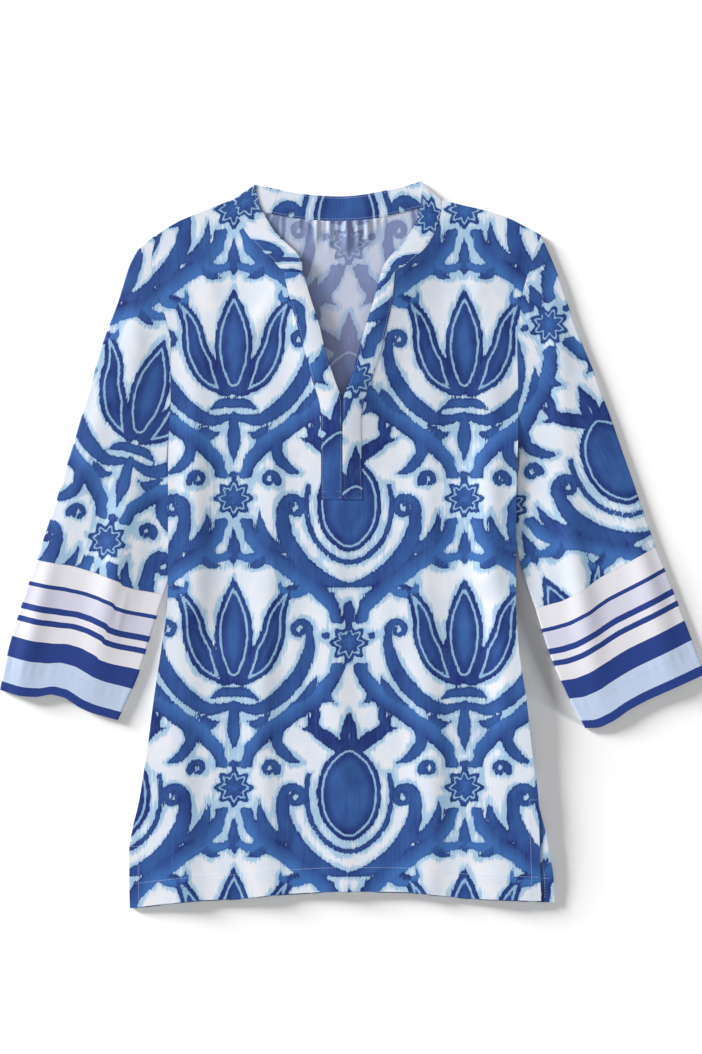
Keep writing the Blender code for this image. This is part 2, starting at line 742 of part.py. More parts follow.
def centre(pieces):
    """Moves the whole garment so that the middle of its foot is the origin."""
    low = np.full(3, np.inf)
    high = np.full(3, -np.inf)
    for piece in pieces:
        points = np.array([v.co[:] for v in piece.data.vertices])
        low = np.minimum(low, points.min(axis=0))
        high = np.maximum(high, points.max(axis=0))
    shift = np.array([(low[0] + high[0]) / 2, (low[1] + high[1]) / 2, low[2]])
    for piece in pieces:
        for vertex in piece.data.vertices:
            vertex.co = [vertex.co[k] - shift[k] for k in range(3)]
        piece.data.update()
    return shift, high - low


def build():
    """Makes every piece of the tunic."""
    clear_scene()
    front, front_mid = build_front()
    pieces = [build_back(), front]
    sides = (
        ("left", SLEEVE_LEFT, -1, SLEEVE_WAVE_LEFT, SLEEVE_RIDGES_LEFT),
        ("right", SLEEVE_RIGHT, 1, SLEEVE_WAVE_RIGHT, SLEEVE_RIDGES_RIGHT),
    )
    for word, table, side, wave, ridges in sides:
        lines = sleeve_lines(table, armhole_places(front_mid, side))
        pieces.append(build_tube("sleeve_" + word, lines, wave, ridges, 0.0))
        lines = [fold_line(table, t) for t in CUFF_ROWS]
        pieces.append(build_tube("cuff_" + word, lines, wave, ridges, SEAM))
    pieces.append(build_collar())
    pieces.append(build_placket("placket_left", -1))
    pieces.append(build_placket("placket_right", 1))
    printed = (0.28, 0.38, 0.62)
    striped = (0.62, 0.68, 0.80)
    for piece in pieces:
        colour = striped if piece.name.startswith("cuff") else printed
        piece.data.materials.append(cloth(piece.name + "_cloth", colour))
    shift, size = centre(pieces)
    print("moved by", shift, "size", size)
    for piece in pieces:
        print(piece.name, len(piece.data.polygons))


build()
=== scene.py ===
# %% [markdown]
# # A tunic top, laid flat
#
# This lesson dresses a measured model of a tunic: a loose top with a split V
# neck, a standing neck band, wide three-quarter sleeves and striped cuffs. Each
# rigid solid is replaced by fine cloth that lies in the same place, and gets
# its print, weave, stitches and folds.
#
# The first cell loads the imported model and lays its solids out in the
# world's frame.

# %% The imported model
import math

import bpy
import numpy as np
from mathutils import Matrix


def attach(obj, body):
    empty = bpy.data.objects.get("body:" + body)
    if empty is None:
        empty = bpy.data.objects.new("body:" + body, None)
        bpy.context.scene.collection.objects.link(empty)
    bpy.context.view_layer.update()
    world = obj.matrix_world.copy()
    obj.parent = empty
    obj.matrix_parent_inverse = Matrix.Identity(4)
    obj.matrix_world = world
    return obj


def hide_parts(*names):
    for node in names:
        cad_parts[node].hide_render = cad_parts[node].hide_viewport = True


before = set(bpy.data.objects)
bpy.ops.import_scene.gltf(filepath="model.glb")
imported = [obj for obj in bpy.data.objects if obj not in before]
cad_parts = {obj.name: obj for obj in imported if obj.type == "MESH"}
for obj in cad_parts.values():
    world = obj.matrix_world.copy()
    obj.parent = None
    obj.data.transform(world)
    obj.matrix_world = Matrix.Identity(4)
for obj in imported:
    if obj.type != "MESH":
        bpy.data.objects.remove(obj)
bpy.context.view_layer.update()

MM = 0.001
print("solids:", sorted(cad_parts))

# %% [markdown]
# ## The camera
#
# The garment is seen from straight above. A long lens three metres up keeps
# the flat cloth free of perspective. The picture is 702 by 1054 pixels, and
# its longer side spans 1117 mm of the table.

# %% Camera straight above
HEIGHT_SEEN = 1.117
CAMERA_UP = 3.0
SENSOR = 36.0
PICTURE_MIDDLE = (-0.0016, 0.0188)  # across and up from the middle of the part


def in_scene(name, data):
    """A new object for a mesh, lamp or lens, linked into the scene."""
    made = bpy.data.objects.new(name, data)
    bpy.context.scene.collection.objects.link(made)
    return made


lens = bpy.data.cameras.new("camera_above")
lens.sensor_width = SENSOR
lens.lens = SENSOR * CAMERA_UP / HEIGHT_SEEN
camera = in_scene("camera_above", lens)
camera.location = (*PICTURE_MIDDLE, CAMERA_UP)
bpy.context.scene.camera = camera
print("lens in mm:", round(lens.lens, 1))

# %% [markdown]
# ## Reading the garment's sizes
#
# A pattern cutter works with a list of sizes: how wide the body is at each
# height, where the hem runs. The tables below hold such sizes in millimetres,
# measured across from the centre front and up from the left hem corner. A
# smooth curve through the rows gives the outline at any height, and it is
# read for a whole array of places at once.

# %% Curves through short tables
MIDDLE_ACROSS = 11.664
MIDDLE_UP = 384.950


def eased(table, column, at):
    """Reads a column of a table at the places at. Between two rows it is the
    cubic that meets both rows' values and slopes. A row's slope is the
    harmonic mean of the slopes on its two sides, or nought where one side
    rises and the other falls, so the curve never swings past a row."""
    keys = np.array([row[0] for row in table], float)
    values = np.array([row[column] for row in table], float)
    at = np.clip(np.asarray(at, float), keys[0], keys[-1])
    step = np.diff(keys)
    rise = np.diff(values) / step
    slope = np.zeros(len(keys))
    before, after = rise[:-1], rise[1:]
    turning = before * after <= 0
    safe = np.where(turning, 1.0, before * step[1:] + after * step[:-1])
    slope[1:-1] = np.where(turning, 0.0, before * after * (step[:-1] + step[1:]) / safe)
    slope[0] = rise[0]
    slope[-1] = rise[-1]
    i = np.clip(np.searchsorted(keys, at) - 1, 0, len(keys) - 2)
    t = (at - keys[i]) / step[i]
    near = (1 + 2 * t) * (1 - t) ** 2 * values[i] + t * (1 - t) ** 2 * step[i] * slope[i]
    far = t * t * (3 - 2 * t) * values[i + 1] - t * t * (1 - t) * step[i] * slope[i + 1]
    return near + far


def soft_step(low, high, at):
    """0 at low, 1 at high, and 3t^2 - 2t^3 between them."""
    t = np.clip((np.asarray(at, float) - low) / (high - low), 0, 1)
    return t * t * (3 - 2 * t)


# %% The body's outline
SIDES = (  # up, left half width, right half width
    (0.0, 224.1, 211.4),
    (30.0, 224.6, 210.6),
    (61.5, 224.7, 209.8),
    (85.0, 221.0, 209.0),
    (114.5, 214.1, 208.3),
    (167.4, 205.6, 201.4),
    (220.4, 198.7, 195.5),
    (273.4, 190.8, 187.6),
    (326.4, 183.9, 184.4),
    (390.0, 183.3, 184.4),
    (453.6, 183.3, 184.9),
    (496.0, 182.8, 186.5),
    (538.4, 180.7, 187.1),
    (596.7, 180.7, 186.0),
    (623.2, 185.5, 188.1),
    (644.4, 192.4, 190.2),
    (670.9, 199.8, 196.6),
    (686.8, 200.8, 201.4),
    (712.7, 195.5, 211.4),
)
BACK_BEYOND = (  # up, how far the back's edge lies past the front's at the left, at the right
    (0.0, -2.5, 13.8),
    (30.0, -2.5, 14.0),
    (61.5, -1.5, 9.5),
    (85.0, 0.0, 6.0),
    (114.5, 0.0, 0.0),
    (167.4, 0.0, 0.0),
)
HEM = (  # across, up
    (-224.1, 0.0),
    (-192.4, 4.2),
    (-150.0, 8.5),
    (-107.6, 10.6),
    (-65.2, 14.8),
    (3.7, 18.0),
    (62.0, 17.6),
    (104.4, 13.8),
    (146.8, 10.1),
    (211.4, 7.9),
)
NECK_LEFT = (-115.0, 750.3)  # where the neck seam meets the shoulder, across and up
NECK_RIGHT = (106.5, 749.8)
SHOULDER_LEFT = (  # across, up
    (-195.5, 712.7),
    (-183.9, 720.7),
    (-171.2, 728.0),
    (-150.0, 736.8),
    (-133.0, 743.6),
    NECK_LEFT,
)
SHOULDER_RIGHT = (
    NECK_RIGHT,
    (125.6, 745.0),
    (146.8, 740.3),
    (168.0, 734.5),
    (183.9, 727.5),
    (199.8, 718.9),
    (211.4, 712.7),
)


def side_left(up):
    """Where the left side seam and armhole lie across, at each height up."""
    return -eased(SIDES, 1, up)


def side_right(up):
    """Where the right side seam and armhole lie across, at each height up."""
    return eased(SIDES, 2, up)


def back_left(up):
    """The left edge of the back, which the front hides."""
    return side_left(up) - eased(BACK_BEYOND, 1, up)


def back_right(up):
    """The right edge of the back, which shows past the front at the vent."""
    return side_right(up) + eased(BACK_BEYOND, 2, up)


def shoulder_up(across):
    """The shoulder line's place up, straight across the neck opening."""
    return np.interp(across, *zip(*(SHOULDER_LEFT + SHOULDER_RIGHT)))


def from_corners(across, up):
    """The distances from the two corners of the neck."""
    return [np.hypot(across - x, up - y) for x, y in (NECK_LEFT, NECK_RIGHT)]


print("hem width:", round(float(side_right(0) - side_left(0))), "mm")

# %% The neck band and the plackets
BAND_AT_LEFT = (*NECK_LEFT, -91.5, 766.3)  # seam across, seam up, edge across, edge up
BAND_AT_RIGHT = (*NECK_RIGHT, 84.3, 769.9)
COLLAR_LEFT_ARM = (
    (-61.5, 673.5, -41.3, 673.0),
    (-68.4, 680.8, -41.9, 683.6),
    (-77.9, 690.4, -47.2, 693.2),
    (-88.6, 700.5, -57.0, 702.5),
    (-97.0, 710.0, -66.2, 711.6),
    (-103.3, 719.5, -74.7, 722.3),
    (-107.9, 729.5, -81.6, 734.4),
    (-111.3, 739.7, -87.4, 748.2),
    BAND_AT_LEFT,
)
COLLAR_BACK = (
    BAND_AT_LEFT,
    (-97.0, 742.4, -84.3, 765.2),
    (-80.0, 737.1, -73.7, 762.6),
    (-59.9, 732.9, -55.6, 759.0),
    (-40.0, 730.0, -37.0, 756.0),
    (-28.0, 728.9, -26.0, 754.9),
    (-14.0, 728.2, -13.0, 754.1),
    (0.0, 728.1, 0.0, 753.8),
    (14.0, 728.6, 13.0, 754.6),
    (28.0, 729.9, 26.0, 756.2),
    (40.0, 731.6, 36.5, 758.1),
    (53.5, 734.7, 49.3, 760.6),
    (70.5, 738.9, 63.5, 764.0),
    (88.5, 743.6, 75.8, 767.2),
    BAND_AT_RIGHT,
)
COLLAR_RIGHT_ARM = (
    BAND_AT_RIGHT,
    (105.5, 738.6, 84.8, 754.6),
    (103.0, 727.6, 83.2, 739.7),
    (99.0, 716.9, 78.8, 726.0),
    (93.2, 706.4, 72.0, 714.0),
    (85.9, 696.5, 63.4, 702.9),
    (76.8, 687.2, 54.0, 692.6),
    (66.6, 679.6, 46.6, 682.9),
    (56.7, 673.5, 41.9, 672.4),
)
PLACKET = (  # up, left seam, left edge, right edge, right seam
    (432.4, -21.7, 0.85, 1.15, 22.8),
    (485.4, -21.7, 0.85, 1.15, 21.2),
    (517.2, -21.7, 0.85, 1.15, 20.7),
    (534.1, -23.3, 0.70, 1.30, 23.3),
    (559.6, -31.3, -7.4, 9.0, 32.3),
    (591.4, -39.7, -17.5, 18.5, 41.9),
    (617.9, -47.2, -23.8, 26.0, 48.8),
    (644.4, -54.6, -32.3, 34.4, 54.0),
    (673.0, -61.5, -40.8, 41.9, 56.7),
)
SLIT_UP = PLACKET[0][0]


def seam_line(table):
    """The places of a band table's seam."""
    return [row[:2] for row in table]


def v_corner(side):
    """The band's row at the top of the V: side -1 is left and 1 right."""
    return COLLAR_LEFT_ARM[0] if side < 0 else COLLAR_RIGHT_ARM[-1]


def placket_seam(side, up):
    """Where a placket's seam lies across."""
    return eased(PLACKET, 1 if side < 0 else 4, up)


def placket_edge(side, up):
    """Where a placket's free edge lies across."""
    return eased(PLACKET, 2 if side < 0 else 3, up)


print("slit and V length:", round(v_corner(-1)[1] - SLIT_UP), "mm")

# %% The sleeves' outline
SLEEVE_LEFT = (  # share of the way down, outer fold across, up, inner edge across, up
    (0.00, -200.3, 710.6, -196.0, 711.7),
    (0.10, -211.4, 702.1, -200.6, 693.1),
    (0.20, -223.1, 683.6, -199.2, 668.7),
    (0.32, -236.9, 641.2, -188.6, 629.5),
    (0.46, -251.7, 602.0, -180.7, 580.8),
    (0.58, -263.9, 561.7, -180.7, 538.4),
    (0.70, -275.5, 520.4, -183.1, 496.0),
    (0.76, -283.5, 492.8, -184.2, 471.6),
    (0.82, -290.9, 469.5, -181.2, 447.2),
    (0.90, -302.6, 430.3, -173.3, 400.6),
    (0.95, -312.6, 400.6, -178.0, 365.6),
    (1.00, -322.7, 369.9, -188.1, 332.2),
    (1.33, -337.8, 324.7, -202.4, 287.6),
    (1.66, -351.6, 279.0, -216.8, 243.1),
    (2.00, -361.9, 231.0, -236.9, 199.2),
)
SLEEVE_RIGHT = (
    (0.00, 215.1, 704.2, 211.0, 710.1),
    (0.10, 221.5, 689.9, 203.5, 689.9),
    (0.20, 231.6, 664.5, 194.5, 661.3),
    (0.32, 243.8, 627.4, 186.8, 604.1),
    (0.46, 257.0, 592.4, 186.5, 559.6),
    (0.58, 267.6, 567.5, 187.1, 527.8),
    (0.70, 277.1, 541.0, 186.8, 496.0),
    (0.76, 286.1, 517.2, 188.0, 471.6),
    (0.82, 296.2, 487.5, 183.3, 446.2),
    (0.90, 308.9, 451.5, 180.2, 408.0),
    (0.95, 320.6, 417.6, 189.2, 365.6),
    (1.00, 333.3, 382.1, 205.1, 317.9),
    (1.33, 350.8, 337.8, 218.7, 274.4),
    (1.66, 367.1, 294.8, 236.3, 232.3),
    (2.00, 385.2, 247.5, 258.1, 190.8),
)
UNDERARM_UP = 496.0
print("cuffs reach from", SLEEVE_LEFT[-1][1], "to", SLEEVE_RIGHT[-1][1], "mm across")

# %% [markdown]
# ## How high the cloth lies
#
# Laid flat, the back rests on the table and the front rests on the back. The
# space between them is a few millimetres: least in the valleys and along the
# seams, more in the long soft ridges that air leaves under light cloth. The
# heights are plain functions of the place on the table, so front, back and
# sleeves can be shaped apart and still fit each other. The ridges are
# bell-shaped across, which has no hard line anywhere.

# %% Heights of the back
CLOTH = 0.8
LOWER = CLOTH / 2
SEAM_STEP = 1.7
TUBE_STEP = 2.0
VALLEY_STEP = 2.3
GATHERS = (  # across, length down from the neck seam, height, half width
    (-44.0, 20.0, 1.2, 2.2),
    (-35.0, 24.0, 1.4, 2.4),
    (-26.0, 36.0, 3.2, 2.7),
    (-19.4, 20.0, 1.2, 2.2),
    (-12.4, 42.0, 2.8, 2.6),
    (-4.2, 24.0, 1.5, 2.2),
    (5.6, 74.0, 4.4, 3.3),
    (11.6, 20.0, 1.2, 2.0),
    (17.0, 52.0, 3.4, 2.8),
    (27.2, 40.0, 3.4, 3.0),
    (36.4, 24.0, 1.6, 2.3),
    (45.0, 18.0, 1.1, 2.2),
)
WAVES = (  # radians to the mm across and up, phase, share of the height; the longest is 140 mm
    (0.042, 0.017, 0.4, 0.34),
    (-0.051, 0.029, 1.9, 0.26),
    (0.023, -0.071, 3.1, 0.18),
    (0.094, 0.052, 4.4, 0.12),
    (-0.083, 0.110, 5.6, 0.10),
)


def side_rise(across, up):
    """Lift of the body's side edges. Where they lie over the sleeves it is
    4.4 mm at the left edge and 6.6 mm at the right one, gone 62 mm in. Below
    that it is 2.6 mm at the left and 7.0 mm at the right, falling to 4.6 mm by
    the hem and gone 46 mm in, because a side seam is stiffer than the cloth
    and stands off the table."""
    into_left, into_right = across - side_left(up), side_right(up) - across
    below_arm = soft_step(UNDERARM_UP, UNDERARM_UP - 30, up)
    left = below_arm * soft_step(284, 326, up) * (1 - soft_step(15, 62, into_left))
    right = below_arm * soft_step(318, 356, up) * (1 - soft_step(15, 62, into_right))
    seam = 2.6 * (1 - soft_step(6, 46, into_left)) * soft_step(50, 150, up)
    right_seam = 4.6 + 2.4 * soft_step(120, 240, up)
    seam = seam + right_seam * (1 - soft_step(4, 46, into_right)) * soft_step(-60, 90, up)
    seam = seam * (1 - (left + right)) * (1 - soft_step(480, 530, up))
    return 4.4 * left + 6.6 * right + seam


def ripple(u, v, size):
    """A quiet unevenness: the sum of WAVES, which stays within size."""
    return size * sum(share * np.sin(a * u + b * v + c) for a, b, c, share in WAVES)


def back_height(across, up):
    """Middle of the back's cloth: flat, with bell-shaped gathers that fade
    down from the neck band, and lifted side edges."""
    below = eased(COLLAR_BACK, 1, across) - up
    raised = 0.0
    for start, length, height, half in GATHERS:
        crest = start + 0.06 * start * np.clip(below / 40, 0, 1.5)
        fade = (1 - soft_step(0.1 * length, length, below)) * soft_step(-20, 0, 20 - below)
        raised = raised + height * fade * np.exp(-(((across - crest) / half) ** 2))
    return LOWER + side_rise(across, up) + raised


print("back height at the centre:", round(float(back_height(0.0, 300.0)), 2), "mm")

# %% Heights of the front
FRONT_RIDGES = (  # across at hem, at chest, height at hem, at chest, half width left, right
    (-168.0, -152.0, 3.4, 1.8, 24.0, 15.0),
    (-84.0, -76.0, 3.8, 2.4, 23.0, 15.0),
    (-2.0, -6.0, 3.2, 1.0, 21.0, 15.0),
    (94.0, 88.0, 3.8, 2.4, 23.0, 15.0),
    (172.0, 160.0, 3.2, 2.0, 22.0, 14.0),
)
FRONT_CREASES = (  # start across, up, end across, up, half width, height
    (-176.0, 486.0, -92.0, 400.0, 12.0, 0.9),
    (178.0, 486.0, 104.0, 410.0, 12.0, 0.9),
    (-120.0, 640.0, -96.0, 500.0, 13.0, 0.8),
    (128.0, 650.0, 104.0, 520.0, 13.0, 0.9),
    (-60.0, 380.0, -40.0, 150.0, 10.0, 0.7),
    (40.0, 400.0, 52.0, 170.0, 11.0, 0.8),
    (-128.0, 330.0, -136.0, 60.0, 10.0, 0.7),
    (134.0, 300.0, 142.0, 70.0, 10.0, 0.7),
    (-60.0, 668.0, -126.0, 560.0, 9.0, 1.3),
    (56.0, 668.0, 112.0, 566.0, 9.0, 1.2),
    (-150.0, 716.0, -128.0, 600.0, 11.0, 1.0),
    (152.0, 716.0, 140.0, 610.0, 11.0, 1.0),
    (-30.0, 440.0, -58.0, 300.0, 11.0, 0.9),
    (36.0, 436.0, 70.0, 310.0, 11.0, 0.9),
)
HEM_STITCH_UP = 25.4
HEM_STEP = (24.4, 26.6)  # above the hem, where its turned cloth ends
V_MIDDLE = 1.0  # across
V_FOOT_UP = 520.0
V_HEIGHT = 170.0
V_HALF = 55.0  # half width at its top
V_LOFT = 7.6


def puckers(along, off, size):
    """Small puckers beside a line of stitches: uneven sine waves along it,
    about 9 mm apart, that fade over some 8 mm to either side."""
    waves = 0.6 * np.sin(along / 1.5 + 1.4 * np.sin(along / 17))
    waves = waves + 0.4 * np.sin(along / 2.6 + 1.0)
    return size * waves * (0.6 + 0.4 * np.sin(along / 31 + 2.0)) * np.exp(-((off / 8) ** 2))


def crease(across, up, run):
    """A bell-shaped ridge along a straight run: exp(-(d/w)^2) across, with d
    the distance from the run, and sin^2 from end to end, so it fades out."""
    ax, ay, bx, by, half, height = run
    length = math.hypot(bx - ax, by - ay)
    ux, uy = (bx - ax) / length, (by - ay) / length
    along = ((across - ax) * ux + (up - ay) * uy) / length
    off = (across - ax) * uy - (up - ay) * ux
    inside = np.sin(np.pi * np.clip(along, 0, 1)) ** 2
    return height * inside * np.exp(-((off / half) ** 2))


def long_ridge(across, up, row):
    """A ridge from hem to chest, wider on its left slope than on its right,
    whose crest wanders a few millimetres and whose height comes and goes."""
    hem_at, chest_at, hem_high, chest_high, half_left, half_right = row
    chest = np.clip(up / 520, 0, 1.3)
    crest = hem_at + (chest_at - hem_at) * chest + 4.5 * np.sin(up / 61 + hem_at / 17)
    high = hem_high + (chest_high - hem_high) * chest
    high = high * (0.86 + 0.14 * np.sin(up / 83 + hem_at)) * (1 - 0.75 * soft_step(480, 660, up))
    off = across - crest
    half = np.where(off < 0, half_left, half_right)
    return high * np.exp(-((off / half) ** 2))


def armhole_step(up):
    """From back to front along the body's edge: close at the side seam and the
    shoulder, open along the armhole, where the sleeve is sewn in."""
    t = np.clip((up - UNDERARM_UP) / (SIDES[-1][0] - UNDERARM_UP), 0, 1)
    inside = soft_step(UNDERARM_UP - 30, UNDERARM_UP, up)
    return SEAM_STEP + inside * (TUBE_STEP - SEAM_STEP + 1.6 * np.sin(np.pi * t) ** 2)


def front_height(across, up):
    """Middle of the front's cloth: on the back along the seams, a little above
    it inside them, higher on the ridges and by V_LOFT at the V's edges, which
    fades as exp(-(d/40)^2). The turned hem is stiff and lies low: there the
    ridges keep 0.6 of their height."""
    into = np.minimum(across - side_left(up), side_right(up) - across)
    off_side = 1 - np.exp(-((np.maximum(into, 0) / 17) ** 2))
    off_shoulder = 1 - np.exp(-((np.maximum(shoulder_up(across) - up, 0) / 24) ** 2))
    raised = sum(long_ridge(across, up, row) for row in FRONT_RIDGES)
    raised = raised + sum(crease(across, up, run) for run in FRONT_CREASES)
    above_hem = up - eased(HEM, 1, across)
    raised = raised * (0.6 + 0.4 * soft_step(0, 130, above_hem))
    raised = raised + 0.55 + ripple(across, up, 0.55)
    raised = raised + 0.35 * (1 - soft_step(*HEM_STEP, above_hem))
    off_stitches = above_hem - HEM_STITCH_UP
    raised = raised + puckers(across, off_stitches, 0.16)
    raised = raised + 0.16 * np.exp(-((off_stitches / 8) ** 2))
    t = np.clip((up - V_FOOT_UP) / V_HEIGHT, 0, 1)
    from_v = np.hypot(np.abs(across - V_MIDDLE) - V_HALF * t, up - V_FOOT_UP - V_HEIGHT * t)
    raised = raised + V_LOFT * np.exp(-((from_v / 40) ** 2))
    step = armhole_step(up) + off_side * off_shoulder * (VALLEY_STEP - SEAM_STEP + raised)
    pinch = 0.3 * sum(np.exp(-((corner / 26) ** 2)) for corner in from_corners(across, up))
    return LOWER + side_rise(across, up) + step + pinch


probe = front_height(np.linspace(-180, 180, 400), np.linspace(20, 700, 400)[:, None])
print("front height from", round(float(probe.min()), 1), "to", round(float(probe.max()), 1), "mm")

# %% [markdown]
# ## A wall of cloth
#
# Every piece of cloth is a thin closed wall: an outer face, an inner face and
# a narrow rim. Blender's Solidify could thicken a single sheet, but here the
# wall is worked out in numpy, because each face must know whether it is the
# right side or the wrong side of the print. The grid's middle points are moved
# half the thickness out and half in, and the edges that only one cell uses
# get the rim.

# %% Mesh from arrays
def new_mesh(name, points, faces):
    """A mesh from an N x 3 array of points in metres and an M x 4 array of
    four-sided faces, whole arrays at a time."""
    mesh = bpy.data.meshes.new(name)
    mesh.vertices.add(len(points))
    mesh.vertices.foreach_set("co", points.astype(np.float32).ravel())
    mesh.loops.add(faces.size)
    mesh.loops.foreach_set("vertex_index", faces.astype(np.int32).ravel())
    mesh.polygons.add(len(faces))
    mesh.polygons.foreach_set("loop_start", np.arange(0, faces.size, 4, dtype=np.int32))
    mesh.polygons.foreach_set("use_smooth", np.ones(len(faces), bool))
    mesh.update(calc_edges=True)
    return mesh


def grid_faces(rows, columns, keep, ring):
    """Corner numbers of the grid's cells, row by row, for the cells to keep."""
    j, i = np.mgrid[0:rows - 1, 0:columns if ring else columns - 1]
    k = (i + 1) % columns
    low, high = j * columns, (j + 1) * columns
    faces = np.stack((low + i, low + k, high + k, high + i), -1)
    return faces[keep] if keep is not None else faces.reshape(-1, 4)


def open_edges(faces):
    """The directed edges that belong to one face only."""
    a = faces.ravel()
    b = np.roll(faces, -1, axis=1).ravel()
    size = int(faces.max()) + 1
    own, twin = a * size + b, b * size + a
    free = ~np.isin(own, twin)
    return a[free], b[free]


# %% Cloth wall
LEVEL = np.array([0.0, 0.0, 1.0])
RIM_OUT = 0.12
SHARP = math.radians(62)


def place(across, up, height):
    """Three arrays as points in millimetres."""
    return np.stack(np.broadcast_arrays(across, up, height), axis=-1).astype(float)


def in_frame(points):
    """Points in the garment's millimetres as metres in the part's frame."""
    return (points - np.array([MIDDLE_ACROSS, MIDDLE_UP, 0.0])) * MM


def edge_away(flat, out, a, b):
    """At each point of the open edges a to b, the direction away from the
    cloth: the cross product of edge and outward direction, added up over the
    edges that meet there and brought to length 1."""
    sideways = np.cross(flat[b] - flat[a], out[a])
    away = np.zeros(flat.shape)
    np.add.at(away, a, sideways)
    np.add.at(away, b, sideways)
    return away / np.maximum(np.linalg.norm(away, axis=1), 1e-9)[:, None]


def turned_outwards(points, faces):
    """The faces, all turned round if the volume they enclose is negative: the
    sum over the faces of centre times normal."""
    corner = points[faces]
    normal = np.cross(corner[:, 2] - corner[:, 0], corner[:, 3] - corner[:, 1])
    return faces if float((corner.mean(axis=1) * normal).sum()) >= 0 else faces[:, ::-1]


def cloth_wall(name, mid, out, fields, thickness=CLOTH, keep=None, ring=False, lining=0.0):
    """A closed wall. Outer points are mid + out * thickness / 2 and inner ones
    mid - out * thickness / 2. The rim has a middle line RIM_OUT further out, so
    a cut edge looks turned rather than sawn. fields holds what the material
    reads at each grid point. lining is 1 where the inner face shows the right
    side too, as on a doubled band or a turned hem."""
    rows, columns = mid.shape[:2]
    count = rows * columns
    flat, out = mid.reshape(-1, 3), np.broadcast_to(out, mid.shape).reshape(-1, 3)
    faces = grid_faces(rows, columns, keep, ring)
    a, b = open_edges(faces)
    half = out * (thickness / 2)
    points = np.vstack((flat + half, flat - half, flat + RIM_OUT * edge_away(flat, out, a, b)))
    low, rim = count, 2 * count
    faces = np.vstack((faces, faces[:, ::-1] + low,
                       np.stack((b, a, a + rim, b + rim), 1),
                       np.stack((b + rim, a + rim, a + low, b + low), 1)))
    used, faces = np.unique(faces, return_inverse=True)
    points, faces = points[used], faces.reshape(-1, 4)
    mesh = new_mesh(name, in_frame(points), turned_outwards(points, faces))
    mesh.set_sharp_from_angle(angle=SHARP)
    inner_side = np.broadcast_to(lining, (rows, columns)).ravel()
    store(mesh, "right_side", np.concatenate((np.ones(count), inner_side, np.ones(count)))[used])
    for title, values in fields.items():
        store(mesh, title, np.tile(values.reshape(count, -1), (3, 1))[used])
    size = points.max(axis=0) - points.min(axis=0)
    print(name, "faces:", len(faces), "size in mm:", np.round(size, 1))
    return in_scene(name, mesh)


def store(mesh, title, values):
    """Keeps one number, or three, at every vertex, for the material to read."""
    values = np.asarray(values, np.float32)
    kind, part = ("FLOAT_VECTOR", "vector") if values.ndim == 2 else ("FLOAT", "value")
    layer = mesh.attributes.new(title, kind, "POINT")
    layer.data.foreach_set(part, values.ravel())

# %% [markdown]
# ## Drawing the print
#
# The cloth carries a large blue damask in the blurred manner of ikat: a wavy
# ogee lattice with a pomegranate in one cell and a tulip in the next.
# Nothing is painted on an image. Each motif is a brush stroke, and what is
# kept at every vertex is the distance to the nearest stroke, in millimetres,
# below zero inside it. The material later cuts the colour at zero, so the edge
# stays crisp between vertices, and it can fray the edge along the threads.

# %% Brush strokes
REPEAT_ACROSS = 244.0
REPEAT_UP = 306.0
FAR = 40.0  # a distance past this is kept as this


def stroke(x, y, path):
    """Distance to a stroke whose half width runs evenly from point to point:
    the least, over its straight parts, of the distance to the part less the
    half width there. path holds x, y and half width."""
    best = np.full(np.shape(x), 1e3)
    for (ax, ay, ar), (bx, by, br) in zip(path[:-1], path[1:]):
        dx, dy = bx - ax, by - ay
        t = np.clip(((x - ax) * dx + (y - ay) * dy) / max(dx * dx + dy * dy, 1e-9), 0, 1)
        best = np.minimum(best, np.hypot(x - ax - t * dx, y - ay - t * dy) - (ar + t * (br - ar)))
    return best


def bend(points, steps=8):
    """A smooth path through a few points (x, y, half width), each stretch the
    cubic that keeps the slope from the point before to the point after."""
    p = np.array([points[0]] + list(points) + [points[-1]], float)
    t = np.linspace(0, 1, steps, endpoint=False)[:, None]
    runs = []
    for a, b, c, d in zip(p[:-3], p[1:-2], p[2:-1], p[3:]):
        square = (2 * a - 5 * b + 4 * c - d) * t ** 2
        runs.append(0.5 * (2 * b + (c - a) * t + square + (3 * b - a - 3 * c + d) * t ** 3))
    path = np.vstack(runs + [p[-2][None]])
    path[:, 2] = np.maximum(path[:, 2], 0.4)
    return path


def curl(x, y, wide, narrow, start, turn, thick, thin, steps=26):
    """A scroll: the radius shrinks from wide to narrow as the angle, in
    degrees, goes from start on by turn, and the stroke gets thinner."""
    t = np.linspace(0, 1, steps)
    angle = np.radians(start + turn * t)
    radius = wide + (narrow - wide) * t ** 0.8
    half = thick + (thin - thick) * t
    return np.stack((x + radius * np.cos(angle), y + radius * np.sin(angle), half), 1)


def dot(x, y, size):
    """A round dot, as a very short stroke."""
    return [(x, y, size), (x + 1, y, size)]


def nearest(x, y, paths):
    """Distance to the nearest of several strokes."""
    return np.minimum.reduce([stroke(x, y, path) for path in paths])


def joined(first, second, reach=4.2):
    """The nearer of two distances, with the notch between the shapes filled:
    the least of them, less (reach - |first - second|)^2 / (4 reach)."""
    near = np.maximum(reach - np.abs(first - second), 0)
    return np.minimum(first, second) - near ** 2 / (4 * reach)


def wrapped(value, repeat):
    """The place within one repeat, from minus half to plus half of it."""
    return (value + repeat / 2) % repeat - repeat / 2


# %% The lattice and its rosettes
SWING = 1.08 * (REPEAT_ACROSS / 4 - 10.0)
BOW = 0.10
BARBS = (  # up the band, side away from the pomegranate, reach along, reach off, half width
    (-92, 1, 30, 17, 5.2),
    (-56, 1, 28, 16, 5.2),
    (-18, 1, 22, 14, 4.6),
    (92, -1, -28, 16, 5.0),
)


